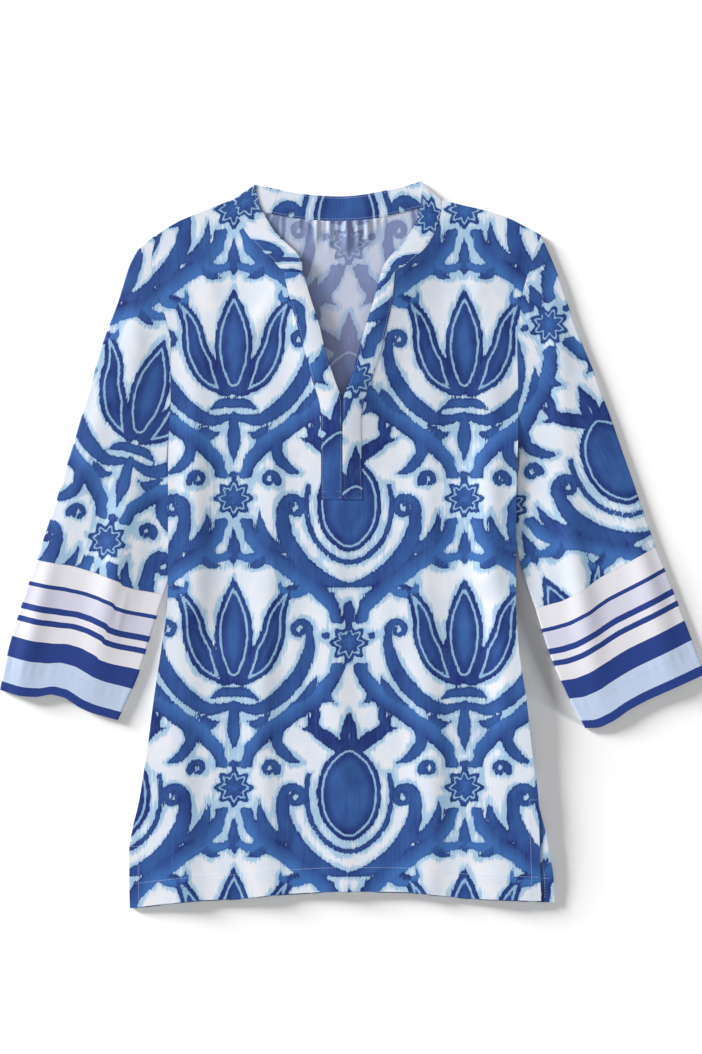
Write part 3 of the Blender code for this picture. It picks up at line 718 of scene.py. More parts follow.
def band_middle(y):
    """The ogee line x = W/4 + SWING (cos a - BOW cos 3a), with a = 2 pi y / H
    and W and H the repeats. BOW bows each cell out like an onion."""
    turn = 2 * np.pi * y / REPEAT_UP
    return REPEAT_ACROSS / 4 + SWING * (np.cos(turn) - BOW * np.cos(3 * turn))


def lattice_band(x, y):
    """Distance to the ogee band, and the offset from its middle line: x less
    the line's x, over sqrt(1 + slope^2). Two cosines vary the width."""
    turn = 2 * np.pi * y / REPEAT_UP
    slope = SWING * (3 * BOW * np.sin(3 * turn) - np.sin(turn)) * 2 * np.pi / REPEAT_UP
    off = (x - band_middle(y)) / np.sqrt(1 + slope ** 2)
    return np.abs(off) - (7.6 - 1.8 * np.cos(2 * turn) + 0.8 * np.cos(14 * turn)), off


def barb(y, side, reach, off, half):
    """A hooked leaf on the band: it starts along the band's normal and bends
    towards the band's direction."""
    foot = np.array([band_middle(float(y)), float(y)])
    ahead = np.array([band_middle(y + 1.0) - foot[0], 1.0])
    ahead = ahead / np.hypot(*ahead)
    aside = np.array([ahead[1], -ahead[0]]) * side
    start = foot + 4 * aside
    steps = ((0, 0, 0.8), (0.75, 0.25, 1.0), (1.1, 0.75, 0.7), (0.55, 1.0, 0.12))
    path = [(*(start + off * a * aside + reach * b * ahead), half * c) for a, b, c in steps]
    return bend(path, 5)


BARB_PATHS = [barb(*row) for row in BARBS]


def rosette(dx, dy):
    """An eight-petal rosette: the radius less 18.5 + 3.4 cos(8 angle)."""
    return np.hypot(dx, dy) - (18.5 + 3.4 * np.cos(8 * np.arctan2(dy, dx)))


# %% The pomegranate
POMEGRANATE_LEAVES = (
    bend([(0, -92, 3), (24, -86, 7.0), (49, -68, 9.0), (67, -40, 9.0), (71, -12, 6.6)]),
    curl(58, -10, 13.0, 3.4, 0, 440, 6.0, 2.6),
    bend([(68, -54, 5), (82, -48, 6.2), (93, -30, 5.0), (95, -12, 0.8)]),
    bend([(0, -106, 0.8), (0, -118, 6.6), (0, -127, 5.0), (0, -136, 0.8)]),
    bend([(15, -100, 0.8), (27, -104, 4.8), (36, -98, 4.2), (44, -88, 0.8)]),
    bend([(13, 88, 0.8), (23, 97, 4.8), (22, 112, 5.6), (11, 121, 4.2), (3, 132, 0.8)]),
    bend([(50, 26, 0.8), (64, 32, 5.6), (76, 48, 6.8), (71, 68, 5.0), (57, 75, 0.8)]),
    curl(84, 20, 9.0, 2.8, 200, -420, 4.4, 2.2),
    dot(41, 97, 4.8),
)


def pomegranate(x, y):
    """Ink, core and tone of the pomegranate, mirrored at x = 0. A ring stands
    off the lower part of its body, as wide a distance all round."""
    body = stroke(x, y, bend([(0, -36, 21), (0, -18, 33), (0, 4, 33), (0, 24, 20), (0, 36, 9)]))
    crown = np.minimum(stroke(x, y, bend([(0, 38, 7), (0, 56, 10), (0, 82, 0.8)])),
                       stroke(x, y, bend([(4, 37, 6), (20, 50, 8), (35, 61, 6.4), (46, 80, 0.8)])))
    ring = np.maximum(np.abs(body - 10.5) - 3.3, y - 16)
    ink = np.minimum.reduce([body, crown, ring, nearest(x, y, POMEGRANATE_LEAVES)])
    core = np.minimum(body, crown + 4.5)
    return ink, core, np.where(core < 4, 0.0, 0.3)


# %% The tulip
TULIP_LEAVES = (
    bend([(0, -52, 5.6), (14, -53, 5.2), (26, -60, 1.2)]),
    bend([(3, -66, 4.0), (26, -70, 7.0), (50, -56, 8.6),
          (70, -32, 8.4), (80, -6, 6.4), (80, 12, 4.6)]),
    curl(70, 14, 10.5, 3.2, 0, 400, 4.8, 2.4),
    bend([(60, -66, 0.8), (70, -62, 5.0), (82, -48, 5.4), (89, -34, 0.8)]),
    bend([(0, -64, 4), (0, -78, 6.4), (0, -94, 7.4), (0, -116, 0.8)]),
    bend([(13, -82, 0.8), (23, -86, 4.8), (30, -82, 4.6), (40, -74, 0.8)]),
    bend([(0, 82, 0.8), (0, 95, 6.6), (0, 106, 5.6), (0, 124, 0.8)]),
    bend([(13, 80, 0.8), (26, 84, 5.2), (35, 98, 5.6), (30, 112, 3.8), (20, 114, 0.8)]),
    dot(97, 8, 4.4),
    dot(50, 84, 4.6),
    dot(0, -128, 4.4),
)


def tulip(x, y):
    """Ink, core and tone of the tulip, mirrored at x = 0. The middle petal
    lies over the side ones, so their core ends at its edge."""
    heart = stroke(x, y, bend([(0, -28, 12), (0, -6, 19), (0, 18, 20), (0, 42, 13), (0, 70, 0.8)]))
    wing = stroke(x, y, bend([(8, -34, 12), (27, -20, 15), (40, 4, 14),
                              (45, 30, 11), (58, 54, 5.4), (73, 64, 0.8)]))
    ink = np.minimum.reduce([heart, wing, nearest(x, y, TULIP_LEAVES)])
    core = np.maximum(np.where(heart < 0, heart, np.maximum(wing, -heart)), np.minimum(heart, wing))
    return ink, core, np.where(core < 2, 0.06, 0.35)


# %% The whole print
def printed(u, v):
    """Ink, core and tone for places u across and v up the cloth, in mm. Ink is
    the distance to anything blue and core the distance to the large bodies.
    Pomegranates stand in one set of ogee cells and tulips in the other, half a
    repeat over and up."""
    half_across, half_up = REPEAT_ACROSS / 2, REPEAT_UP / 2
    ax, ay = np.abs(wrapped(u, REPEAT_ACROSS)), wrapped(v, REPEAT_UP)
    bx, by = np.abs(wrapped(u - half_across, REPEAT_ACROSS)), wrapped(v - half_up, REPEAT_UP)
    band, off = lattice_band(ax, ay)
    ink, core = joined(band, nearest(ax, ay, BARB_PATHS), 4.0), np.full(np.shape(u), 30.0)
    tone = 0.5 + 0.4 * np.clip(off / 8, -1, 1)
    for nx, ny in ((0.0, half_up), (half_across, 0.0)):
        flower = rosette(wrapped(u - nx, REPEAT_ACROSS), wrapped(v - ny, REPEAT_UP))
        ink = np.minimum(np.maximum(ink, 6.5 - flower), flower)
        core = np.where(flower < 4, flower, core)
        tone = np.where(flower < 3, 0.2, tone)
    for x, y, motif in ((ax, ay, pomegranate), (bx, by, tulip)):
        own, body, shade = motif(x, y)
        tone = np.where(own < np.minimum(3, ink), shade, tone)
        core = np.where(own < 3, body, core)
        ink = joined(ink, own)
    return np.stack((np.clip(ink, -FAR, FAR), np.clip(core, -FAR, FAR), tone), -1)


sample = printed(*np.mgrid[0:REPEAT_ACROSS:160j, 0:REPEAT_UP:200j])
print("share of the print that is blue:", round(float((sample[..., 0] < 0).mean()), 2))


def cloth_fields(u, v, drawing=printed):
    """What a printed cloth keeps at each vertex: its place on the cloth, in
    metres, and the print's ink, core and tone there."""
    where = np.stack((u * MM, v * MM, np.zeros_like(u)), -1)
    return {"cloth": where, "dye": drawing(u, v)}

# %% [markdown]
# ## The back
#
# The back is one panel, shaped by its hem, side seams, armholes, shoulders and
# the curve under the neck band. The grid has one column for each place along
# that upper outline, and its rows run from the hem up. It lies with its wrong
# side up, which shows inside the neck as a paler print on a ground greyed
# partly by dye and partly by painted shade.

# %% Back panel
BACK_COLUMNS = 34
BACK_NECK = 150
BACK_ROWS = 200
BACK_HEM = -1.4  # up from the front's hem
ROW_SPLIT = 0.56
SEAM_GAP = 0.3
HEM_DEEP = 26.0  # width of the cloth that is turned in
VENT_DEEP = 16.0
PRINT_ACROSS = 8.0  # where a pomegranate's middle lies on the body
FRONT_PRINT_UP = 128.0
BACK_PRINT_UP = 244.0
VENT_TOPS = ((-224.0, 61.5), (-100.0, 61.5), (100.0, 111.3), (224.0, 111.3))  # across, up


def lengths(run):
    """How far along a run of points each of them lies."""
    return np.concatenate(([0], np.cumsum(np.linalg.norm(np.diff(run, axis=0), axis=1))))


def at_lengths(run, at, values):
    """Values kept at a run's points, read at some lengths along it."""
    return np.stack([np.interp(at, lengths(run), column) for column in np.transpose(values)], 1)


def along(points, count):
    """count places along a run of points, evenly by length, without the last."""
    return at_lengths(points, np.linspace(0, lengths(points)[-1], count, endpoint=False), points)


def panel_rows(share, top_up, hem_low, left, right, rows):
    """Places of a panel's grid: each column keeps its share of the width at
    every height, from the hem to its own place on the upper outline."""
    low, high = left(0.0), right(0.0)
    foot = eased(HEM, 1, low + share * (high - low)) + hem_low
    split = int(rows * ROW_SPLIT)
    t = np.linspace(0, 1, split, endpoint=False)[:, None]
    below = foot + t * (SLIT_UP - foot)
    t = np.linspace(0, 1, rows - split)[:, None]
    above = SLIT_UP + t * (top_up - SLIT_UP)
    return np.vstack((below, above)), split


def turned_hem(across, up, left, right):
    """1 within VENT_DEEP of the vents' edges and HEM_DEEP of the hem, else 0."""
    in_vent = up < eased(VENT_TOPS, 1, across)
    near_side = np.minimum(across - left, right - across) < VENT_DEEP
    return ((in_vent & near_side) | (up - eased(HEM, 1, across) < HEM_DEEP)).astype(float)


def build_back():
    """The back panel: the width is shared out evenly between side and side.
    Close to the neck's corners its edge lies 2.6 mm lower, under the band."""
    tops = np.vstack((along(SHOULDER_LEFT, BACK_COLUMNS), along(seam_line(COLLAR_BACK), BACK_NECK),
                      along(SHOULDER_RIGHT, BACK_COLUMNS), [SHOULDER_RIGHT[-1]]))
    low, high = side_left(tops[:, 1]), side_right(tops[:, 1])
    share = (tops[:, 0] - low) / (high - low)
    up, _ = panel_rows(share, tops[:, 1], BACK_HEM, back_left, back_right, BACK_ROWS)
    low, high = back_left(up), back_right(up)
    across = low + share * (high - low)
    up[-1, BACK_COLUMNS:BACK_COLUMNS + BACK_NECK] -= SEAM_GAP
    up[-1] -= 2.6 * np.exp(-((np.minimum(*from_corners(across[-1], up[-1])) / 3) ** 2))
    mid = place(across, up, back_height(across, up))
    fields = cloth_fields(across - PRINT_ACROSS, up - BACK_PRINT_UP)
    return cloth_wall("back_cloth", mid, -LEVEL, fields, lining=turned_hem(across, up, low, high))


back_cloth = build_back()

# %% [markdown]
# ## The front
#
# The front has the same outline but for a deeper neck, and it is cut down the
# middle for the slit. Its columns are shared out on each side of the cut, so
# they fan out from the slit's foot to the neck seam and the grid has no
# corners in the cloth. The cells inside the cut are left out.

# %% Front panel
FRONT_ROWS = 262
FRONT_SHOULDER = 32
FRONT_NECK = 36
FRONT_SLIT = 14


def build_front():
    """The front panel: a column's share is measured between the side and the
    placket seam on its own half."""
    seam = seam_line(COLLAR_LEFT_ARM)[::-1]
    left = np.vstack((along(SHOULDER_LEFT, FRONT_SHOULDER), along(seam, FRONT_NECK), [seam[-1]]))
    right = np.vstack((along(seam_line(COLLAR_RIGHT_ARM)[::-1], FRONT_NECK),
                       along(SHOULDER_RIGHT, FRONT_SHOULDER), [SHOULDER_RIGHT[-1]]))
    low, inner = side_left(left[:, 1]), placket_seam(-1, left[:, 1])
    share_left = (left[:, 0] - low) / (inner - low)
    high, inner = side_right(right[:, 1]), placket_seam(1, right[:, 1])
    share_right = (right[:, 0] - inner) / (high - inner)
    foot_left, foot_right = side_left(SLIT_UP), side_right(SLIT_UP)
    slit_left, slit_right = placket_seam(-1, SLIT_UP), placket_seam(1, SLIT_UP)
    middle = slit_left + (slit_right - slit_left) * np.arange(1, FRONT_SLIT) / FRONT_SLIT
    base = np.concatenate((foot_left + share_left * (slit_left - foot_left), middle,
                           slit_right + share_right * (foot_right - slit_right)))
    share = (base - foot_left) / (foot_right - foot_left)
    tops = np.concatenate((left[:, 1], np.full(len(middle), SLIT_UP), right[:, 1]))
    up, split = panel_rows(share, tops, 0.0, side_left, side_right, FRONT_ROWS)
    across = side_left(up) + share * (side_right(up) - side_left(up))
    n, m = len(left), len(right)
    above = up[split:, :n]
    low, inner = side_left(above), placket_seam(-1, above)
    across[split:, :n] = low + share_left * (inner - low)
    above = up[split:, -m:]
    high, inner = side_right(above), placket_seam(1, above)
    across[split:, -m:] = inner + share_right * (high - inner)
    up[-1, FRONT_SHOULDER:n] -= SEAM_GAP
    up[-1, -m:-FRONT_SHOULDER] -= SEAM_GAP
    keep = np.ones((across.shape[0] - 1, across.shape[1] - 1), bool)
    keep[split:, n - 1:across.shape[1] - m] = False
    mid = place(across, up, front_height(across, up))
    fields = cloth_fields(across - PRINT_ACROSS, up - FRONT_PRINT_UP)
    lining = turned_hem(across, up, side_left(up), side_right(up))
    return cloth_wall("front_cloth", mid, LEVEL, fields, keep=keep, lining=lining)


front_cloth = build_front()

# %% [markdown]
# ## The sleeves and cuffs
#
# A sleeve is a tube, pressed flat: upper cloth, a round fold at the outer
# edge, lower cloth on the table, and a fold at the underarm. Above the
# underarm it stays open, because there it is sewn into the armhole. Each row
# of the grid runs once round the tube. The striped cuff goes on from the same
# rows, so its stripes follow the same gentle wave as its hem.

# %% Tube of cloth
SLEEVE_RIDGES_LEFT = (  # start across, up, end across, up, half width, height
    (-208.0, 700.0, -226.0, 470.0, 15.0, 3.0),
    (-236.0, 660.0, -282.0, 400.0, 18.0, 1.4),
    (-208.0, 540.0, -270.0, 190.0, 17.0, 5.2),
    (-292.0, 470.0, -356.0, 170.0, 15.0, 3.4),
    (-196.0, 480.0, -236.0, 240.0, 10.0, 1.4),
    (-224.0, 350.0, -242.0, 270.0, 3.4, 0.9),
)
SLEEVE_RIDGES_RIGHT = (
    (222.0, 690.0, 240.0, 450.0, 14.0, 3.2),
    (248.0, 620.0, 286.0, 420.0, 15.0, 1.4),
    (222.0, 520.0, 280.0, 160.0, 15.0, 5.4),
    (292.0, 500.0, 362.0, 180.0, 16.0, 3.8),
    (200.0, 470.0, 240.0, 230.0, 10.0, 1.2),
)
WAVE_LEFT = (  # share across, lift where the stripes start, lift at the hem
    (0.00, -1.0, 0.5),
    (0.15, 1.0, -0.5),
    (0.30, 3.3, 2.5),
    (0.44, 2.8, 9.3),
    (0.52, 2.0, 9.3),
    (0.60, 1.0, 6.2),
    (0.68, 0.0, 2.8),
    (0.80, -0.8, 0.6),
    (1.00, 0.0, 0.0),
)
WAVE_RIGHT = (
    (0.00, 1.0, 0.5),
    (0.25, -0.7, 0.3),
    (0.45, -1.5, 0.3),
    (0.55, -3.5, -0.3),
    (0.65, -6.0, -1.6),
    (0.78, -6.0, -5.0),
    (0.88, -3.6, -5.6),
    (1.00, 0.0, 0.0),
)
TUBE_COLUMNS = 64
FOLD_STEPS = 6
CUFF_LENGTH = 139.4
CUFF_STITCH_UP = 27.0
SEWN_AT = 0.7
TUBE_LOFT = 0.8
JOG = 2.4


def tube_ends(table, side, t):
    """Outer fold and inner edge for each share t of the way down. Above the
    underarm the inner edge follows the armhole."""
    outer = np.stack((eased(table, 1, t), eased(table, 2, t)), -1)
    up = eased(table, 4, t)
    armhole = (side_left(up) if side < 0 else side_right(up)) + side * SEAM_GAP
    across = np.where(t <= SEWN_AT, armhole, eased(table, 3, t))
    return outer, np.stack((across, up), -1)


def tube_step(across, up, share, width, ridges, sewn):
    """From lower to upper cloth: TUBE_STEP at a fold, the armhole's own step
    where it is sewn, and between them a low loft with its ridges."""
    off_outer = 1 - np.exp(-((share * width / 13) ** 2))
    off_inner = 1 - np.exp(-(((1 - share) * width / 30) ** 2))
    raised = sum(crease(across, up, run) for run in ridges) + 0.4 + ripple(up, across, 0.4)
    loft = (sewn - TUBE_STEP) * (1 - off_inner) + (TUBE_LOFT + raised) * off_inner
    return TUBE_STEP + off_outer * loft


def tube_lift(t, share, side, wave):
    """How far up the picture each point is moved: by the wave table, blended
    from cuff top to hem, and down by the JOG two thirds of the way across the
    left cuff. Both come in along the sleeve, and the JOG ends above the hem."""
    down_cuff = np.clip(t - 1, 0, 1)[:, None]
    lift = (1 - down_cuff) * eased(wave, 1, share) + down_cuff * eased(wave, 2, share)
    tucked = soft_step(0.655, 0.685, share) * (1 - soft_step(0.70, 1.0, share))
    tucked = tucked * soft_step(1.85, 1.5, t)[:, None]
    return soft_step(0.7, 1.03, t)[:, None] * (lift - (JOG * tucked if side < 0 else 0.0))


def round_fold(end, away):
    """The half circle at one edge of a flat tube: its places, with the centre
    at the ends and the radius half of TUBE_STEP, and the directions outwards."""
    angle = np.linspace(math.pi / 2, -math.pi / 2, FOLD_STEPS + 1)[1:-1]
    radius = TUBE_STEP / 2
    aside = np.cos(angle)[:, None] * away[:, None]
    flat = end[:, None] + radius * aside
    mid = place(flat[..., 0], flat[..., 1], LOWER + radius + radius * np.sin(angle))
    return mid, place(aside[..., 0], aside[..., 1], np.sin(angle))


def along_threads(x, y, lean):
    """Places in axes that lean by an angle in degrees: x cos - y sin across the
    threads and x sin + y cos along them."""
    c, s = math.cos(math.radians(lean)), math.sin(math.radians(lean))
    return x * c - y * s, x * s + y * c


def tube_grid(table, side, t, wave, ridges, lean, cuff=False):
    """The grid of a flattened tube, its outward directions, the cells to keep
    and each point's place on the cloth. The threads lean away from straight up,
    and u runs on round the fold, so the print does too. A cuff has a gap at
    its seam and puckers at its stitches, and v there is the depth below the
    sleeve."""
    outer, inner = tube_ends(table, side, t)
    width = np.hypot(*(inner - outer).T)[:, None]
    run = (inner - outer) / width
    down = np.stack((run[:, 1], -run[:, 0]), -1)
    down = np.where(down[:, 1:] > 0, -down, down)
    closed = t > SEWN_AT
    first = (TUBE_STEP + CLOTH) / 2 / width
    last = np.where(closed[:, None], 1 - first, 1.0)
    share = first + np.linspace(0, 1, TUBE_COLUMNS) * (last - first)
    gap = (SEAM_GAP if cuff else 0.0) * (t == 1)[:, None]
    lowered = gap - tube_lift(t, share, side, wave)
    flat = outer[:, None] + share[..., None] * (inner - outer)[:, None]
    flat = flat + down[:, None] * lowered[..., None]
    sewn = np.where(closed, TUBE_STEP, armhole_step(inner[:, 1]))[:, None]
    x, y = flat[..., 0], flat[..., 1]
    step = tube_step(x, y, share, width, ridges, sewn)
    if cuff:
        step = step + puckers(share * width, (2 - t)[:, None] * CUFF_LENGTH - CUFF_STITCH_UP, 0.34)
    step[:, 0] = TUBE_STEP
    inner_mid, inner_out = round_fold(flat[:, -1], run)
    outer_mid, outer_out = round_fold(flat[:, 0], -run)
    lower = place(x[:, ::-1], y[:, ::-1], LOWER)
    level = np.broadcast_to(LEVEL, lower.shape)
    mid = np.concatenate((place(x, y, LOWER + step), inner_mid, lower, outer_mid[:, ::-1]), axis=1)
    out = np.concatenate((level, inner_out, -level, outer_out[:, ::-1]), axis=1)
    keep = np.ones((len(t) - 1, mid.shape[1]), bool)
    keep[~closed[:-1], TUBE_COLUMNS - 1:TUBE_COLUMNS + FOLD_STEPS - 1] = False
    u, v = along_threads(mid[..., 0], mid[..., 1], lean)
    at_fold = along_threads(x[:, :1], y[:, :1], lean)[0]
    under = np.arange(mid.shape[1]) >= TUBE_COLUMNS + (FOLD_STEPS - 1) // 2
    u = np.where(under, 2 * at_fold - u, u) + side * 20.0
    if cuff:
        v = np.broadcast_to((t[:, None] - 1) * CUFF_LENGTH, u.shape)
    return mid, out, keep, u, v


def build_tube(name, drawing, *shape):
    """The wall on a tube's grid."""
    mid, out, keep, u, v = tube_grid(*shape)
    return cloth_wall(name, mid, out, cloth_fields(u, v, drawing), keep=keep, ring=True)


sleeve_rows = np.concatenate((np.linspace(0, SEWN_AT, 92), np.linspace(SEWN_AT, 1, 58)[1:]))
ON_LEFT = (WAVE_LEFT, SLEEVE_RIDGES_LEFT, 16)
ON_RIGHT = (WAVE_RIGHT, SLEEVE_RIDGES_RIGHT, -26)
sleeve_left = build_tube("sleeve_left_cloth", printed, SLEEVE_LEFT, -1, sleeve_rows, *ON_LEFT)
sleeve_right = build_tube("sleeve_right_cloth", printed, SLEEVE_RIGHT, 1, sleeve_rows, *ON_RIGHT)

# %% Cuffs
def plain(u, v):
    """No drawing: far from ink and core everywhere, for cloth with stripes."""
    return np.stack((np.full_like(u, FAR), np.full_like(u, FAR), np.zeros_like(u)), -1)


cuff_rows = np.linspace(1, 2, 76)
cuff_left = build_tube("cuff_left_cloth", plain, SLEEVE_LEFT, -1, cuff_rows, *ON_LEFT, True)
cuff_right = build_tube("cuff_right_cloth", plain, SLEEVE_RIGHT, 1, cuff_rows, *ON_RIGHT, True)

# %% [markdown]
# ## The neck band and the plackets
#
# The band is one strip. It starts at the V on the left, runs up to the
# shoulder point, folds over, goes round the back of the neck and comes down
# again. Each row of its grid goes from the seam to the free edge. Two narrow
# plackets finish the V and close the slit below it.

# %% Neck band
DOUBLED = 1.1
BAND_COLUMNS = 9


def finer(table, steps):
    """More rows between those of a table, on the smooth curve through them."""
    numbered = [(float(n),) + tuple(row) for n, row in enumerate(table)]
    at = np.linspace(0, len(table) - 1, (len(table) - 1) * steps + 1)
    return np.stack([eased(numbered, k + 1, at) for k in range(len(table[0]))], 1)


def band_rows(rows, height):
    """Places across a strip, from seam to free edge. The cloth's roll adds
    0.35 sqrt(sin) of the share of the way across."""
    t = np.linspace(0, 1, BAND_COLUMNS)
    across = rows[:, 0:1] + t * (rows[:, 2:3] - rows[:, 0:1])
    up = rows[:, 1:2] + t * (rows[:, 3:4] - rows[:, 1:2])
    rolled = 0.35 * np.sin(np.pi * t) ** 0.5
    return place(across, up, height[:, None] + rolled)


def shoulder_fold(row):
    """The band's turn at a shoulder point: half a circle from front to back."""
    direction = np.array([row[2] - row[0], row[3] - row[1]])
    away = np.array([-direction[1], direction[0]]) / np.hypot(*direction)
    away = away if away[1] > 0 else -away
    radius = (float(front_height(*row[:2])) - LOWER) / 2
    angle = np.linspace(math.pi / 2, -math.pi / 2, 9)
    base = np.array(row[:2]) + np.linspace(0, 1, BAND_COLUMNS)[:, None] * direction
    flat = base + (radius * np.cos(angle) - radius - CLOTH / 2)[:, None, None] * away
    mid = place(flat[..., 0], flat[..., 1], (LOWER + radius + radius * np.sin(angle))[:, None])
    out = np.concatenate((np.cos(angle)[:, None] * away, np.sin(angle)[:, None]), 1)
    return mid, np.broadcast_to(out[:, None], mid.shape)


def band_grid():
    """Left arm, fold, back of the neck, fold, right arm, as one grid. At the
    back of the neck the band stands 0.9 mm proud of the gathered seam."""
    left, right = finer(COLLAR_LEFT_ARM, 6)[:-1], finer(COLLAR_RIGHT_ARM, 6)[1:]
    back = finer(COLLAR_BACK, 7)
    proud = 0.9 * np.sin(np.pi * np.linspace(0, 1, len(back))[1:-1]) ** 0.3
    fold_left, out_left = shoulder_fold(BAND_AT_LEFT)
    fold_right, out_right = shoulder_fold(BAND_AT_RIGHT)
    mids = [band_rows(left, front_height(left[:, 0], left[:, 1])), fold_left,
            band_rows(back[1:-1], LOWER + proud), fold_right[::-1],
            band_rows(right, front_height(right[:, 0], right[:, 1]))]
    outs = [LEVEL, out_left, -LEVEL, out_right[::-1], LEVEL]
    outs = [np.broadcast_to(out, mid.shape) for out, mid in zip(outs, mids)]
    return np.concatenate(mids), np.concatenate(outs)


band_mid, band_out = band_grid()
walk = lengths(band_mid[:, BAND_COLUMNS // 2])[:, None] + 30 + np.zeros(BAND_COLUMNS)
rise = np.broadcast_to(np.linspace(-12, 14, BAND_COLUMNS), walk.shape)
neck_band = cloth_wall("neck_band_cloth", band_mid, band_out, cloth_fields(walk, rise),
                       DOUBLED, lining=1.0)

# %% Plackets
PLACKET_ROWS, PLACKET_COLUMNS = 112, 11
UPPER_LIFT = 0.35


def build_placket(name, side, lift, shift_u, shift_v):
    """One strip from the slit's foot to the neck band. Its free edge follows
    the V, and below the V the two strips meet at the centre front."""
    t = np.linspace(0, 1, PLACKET_ROWS)[:, None]
    s = np.linspace(0, 1, PLACKET_COLUMNS)
    _, seam_top, _, edge_top = v_corner(side)
    foot = SLIT_UP + SEAM_GAP
    seam_up = foot + t * (seam_top - SEAM_GAP - foot)
    edge_up = foot + t * (edge_top - SEAM_GAP - foot)
    seam = placket_seam(side, seam_up) - side * SEAM_GAP
    across = seam + s * (placket_edge(side, edge_up) - seam)
    up = seam_up + s * (edge_up - seam_up)
    rolled = lift + 0.3 * np.sin(np.pi * s) ** 0.5
    mid = place(across, up, front_height(across, up) + rolled)
    fields = cloth_fields(across - PRINT_ACROSS + shift_u, up - FRONT_PRINT_UP + shift_v)
    return cloth_wall(name, mid, LEVEL, fields, DOUBLED, lining=1.0)


placket_left = build_placket("placket_left_cloth", -1, 0.0, 9.0, -31.0)
placket_right = build_placket("placket_right_cloth", 1, UPPER_LIFT, -7.0, 26.0)

# %% [markdown]
# ## Stitches
#
# Light cloth is sewn with fine thread, about eleven stitches to the inch. Each
# stitch here is a real grain of thread: four small square sections, the end
# ones narrow. They are placed along runs of points that lie on the cloth, and
# each run keeps the cloth's outward direction, so the stitches go round the
# folds with it. A bump in the material would be lighter to draw, but it would
# have no outline and no shadow of its own.

# %% Stitches along a run
STITCH_PITCH = 2.9
STITCH_LENGTH = 2.1
STITCH_HALF = 0.165
PRESSED_TO = -0.2
ABOVE = 0.45
ABOVE_DOUBLED = 0.60
SECTIONS = ((-0.5, 0.3), (-0.32, 1.0), (0.32, 1.0), (0.5, 0.3))  # share of length, of width
CORNERS = ((1, 0), (0, 1), (-1, 0), (0, -1))


def stitch_points(run, out):
    """Stitches along a run of points: N x 4 sections x 4 corners. Each centre
    is at an even distance from the last, and a corner is the centre plus its
    share of the length ahead, of the side and of the outward direction."""
    at = np.arange(STITCH_PITCH / 2, lengths(run)[-1], STITCH_PITCH)
    centre, up = at_lengths(run, at, run), at_lengths(run, at, out)
    ahead = at_lengths(run, at + 0.6, run) - at_lengths(run, at - 0.6, run)
    ahead = ahead / np.linalg.norm(ahead, axis=1)[:, None]
    side = np.cross(up, ahead)
    side = side / np.linalg.norm(side, axis=1)[:, None]
    further, wide = np.array(SECTIONS).T[:, None, :, None, None]
    corner = np.array(CORNERS, float)[..., None]
    ring = corner[:, 0] * side[:, None, None] + corner[:, 1] * up[:, None, None]
    return (centre[:, None, None] + further * STITCH_LENGTH * ahead[:, None, None]
            + wide * STITCH_HALF * ring)


def sew(name, runs):
    """One mesh with the stitches of several runs, each a pair of arrays:
    points in millimetres and outward directions. The table presses the thread
    below the garment flat, so no point is lower than PRESSED_TO."""
    points = np.concatenate([stitch_points(*run) for run in runs])
    points[..., 2] = np.maximum(points[..., 2], PRESSED_TO)
    count = len(points)
    j, k = np.mgrid[0:3, 0:4]
    k, after = k.ravel() + 4 * j.ravel(), (k.ravel() + 1) % 4 + 4 * j.ravel()
    one = np.vstack((np.stack((k, after, after + 4, k + 4), 1), [[3, 2, 1, 0], [12, 13, 14, 15]]))
    faces = (one[None] + 16 * np.arange(count)[:, None, None]).reshape(-1, 4)
    print(name, "stitches:", count)
    return in_scene(name, new_mesh(name, in_frame(points.reshape(-1, 3)), faces))


def on_cloth(across, up, height, above):
    """A run on level cloth: height is a function of place and gives the middle
    of the cloth, and above is half the cloth and a little."""
    across, up = np.broadcast_arrays(across, up)
    points = place(across, up, height(across, up) + above)
    return points, np.broadcast_to(LEVEL, points.shape)


# %% Hem and vent stitches
VENT_STITCH_IN = 9.5


def panel_runs(height, left, right, hem_low, above):
    """Hem, both vents and the bars at the vents' tops, VENT_STITCH_IN inside
    the edge."""
    across = np.linspace(left(HEM_DEEP) + 3, right(HEM_DEEP) - 3, 300)
    runs = [on_cloth(across, eased(HEM, 1, across) + hem_low + HEM_STITCH_UP, height, above)]
    for edge, inward, top in ((left, 1, VENT_TOPS[0][1] + 4), (right, -1, VENT_TOPS[-1][1] + 4)):
        up = np.linspace(eased(HEM, 1, edge(0.0)) + 3, top, 80)
        runs.append(on_cloth(edge(up) + inward * VENT_STITCH_IN, up, height, above))
        bar = edge(top) + inward * np.linspace(0.8, VENT_STITCH_IN, 12)
        runs.append(on_cloth(bar, top, height, above))
    return runs


front_stitches = sew("front_stitches", panel_runs(front_height, side_left, side_right, 0.0, ABOVE))
back_runs = [run for above in (ABOVE, -0.30)
             for run in panel_runs(back_height, back_left, back_right, BACK_HEM, above)]
back_stitches = sew("back_stitches", back_runs)

# %% Stitches on cuffs, neck band and plackets
PLACKET_STITCH_IN = 1.8


def cuff_runs(table, side, shape):
    """Once round the cuff, CUFF_STITCH_UP above its hem."""
    t = np.array([2 - CUFF_STITCH_UP / CUFF_LENGTH, 2.0])
    mid, out = tube_grid(table, side, t, *shape, True)[:2]
    line, away = np.vstack((mid[0], mid[0, :1])), np.vstack((out[0], out[0, :1]))
    return [(line + ABOVE * away, away)]


def band_runs(column):
    """Along the neck band, at a place between two of its columns: all the way
    on its outside, and on the inside of the part behind the neck, which shows."""
    low = int(column)
    share = column - low
    mid = band_mid[:, low] * (1 - share) + band_mid[:, low + 1] * share
    out = band_out[:, low]
    behind = out[:, 2] < -0.99
    return [(mid + ABOVE_DOUBLED * out, out),
            (mid[behind] - ABOVE_DOUBLED * out[behind], -out[behind])]


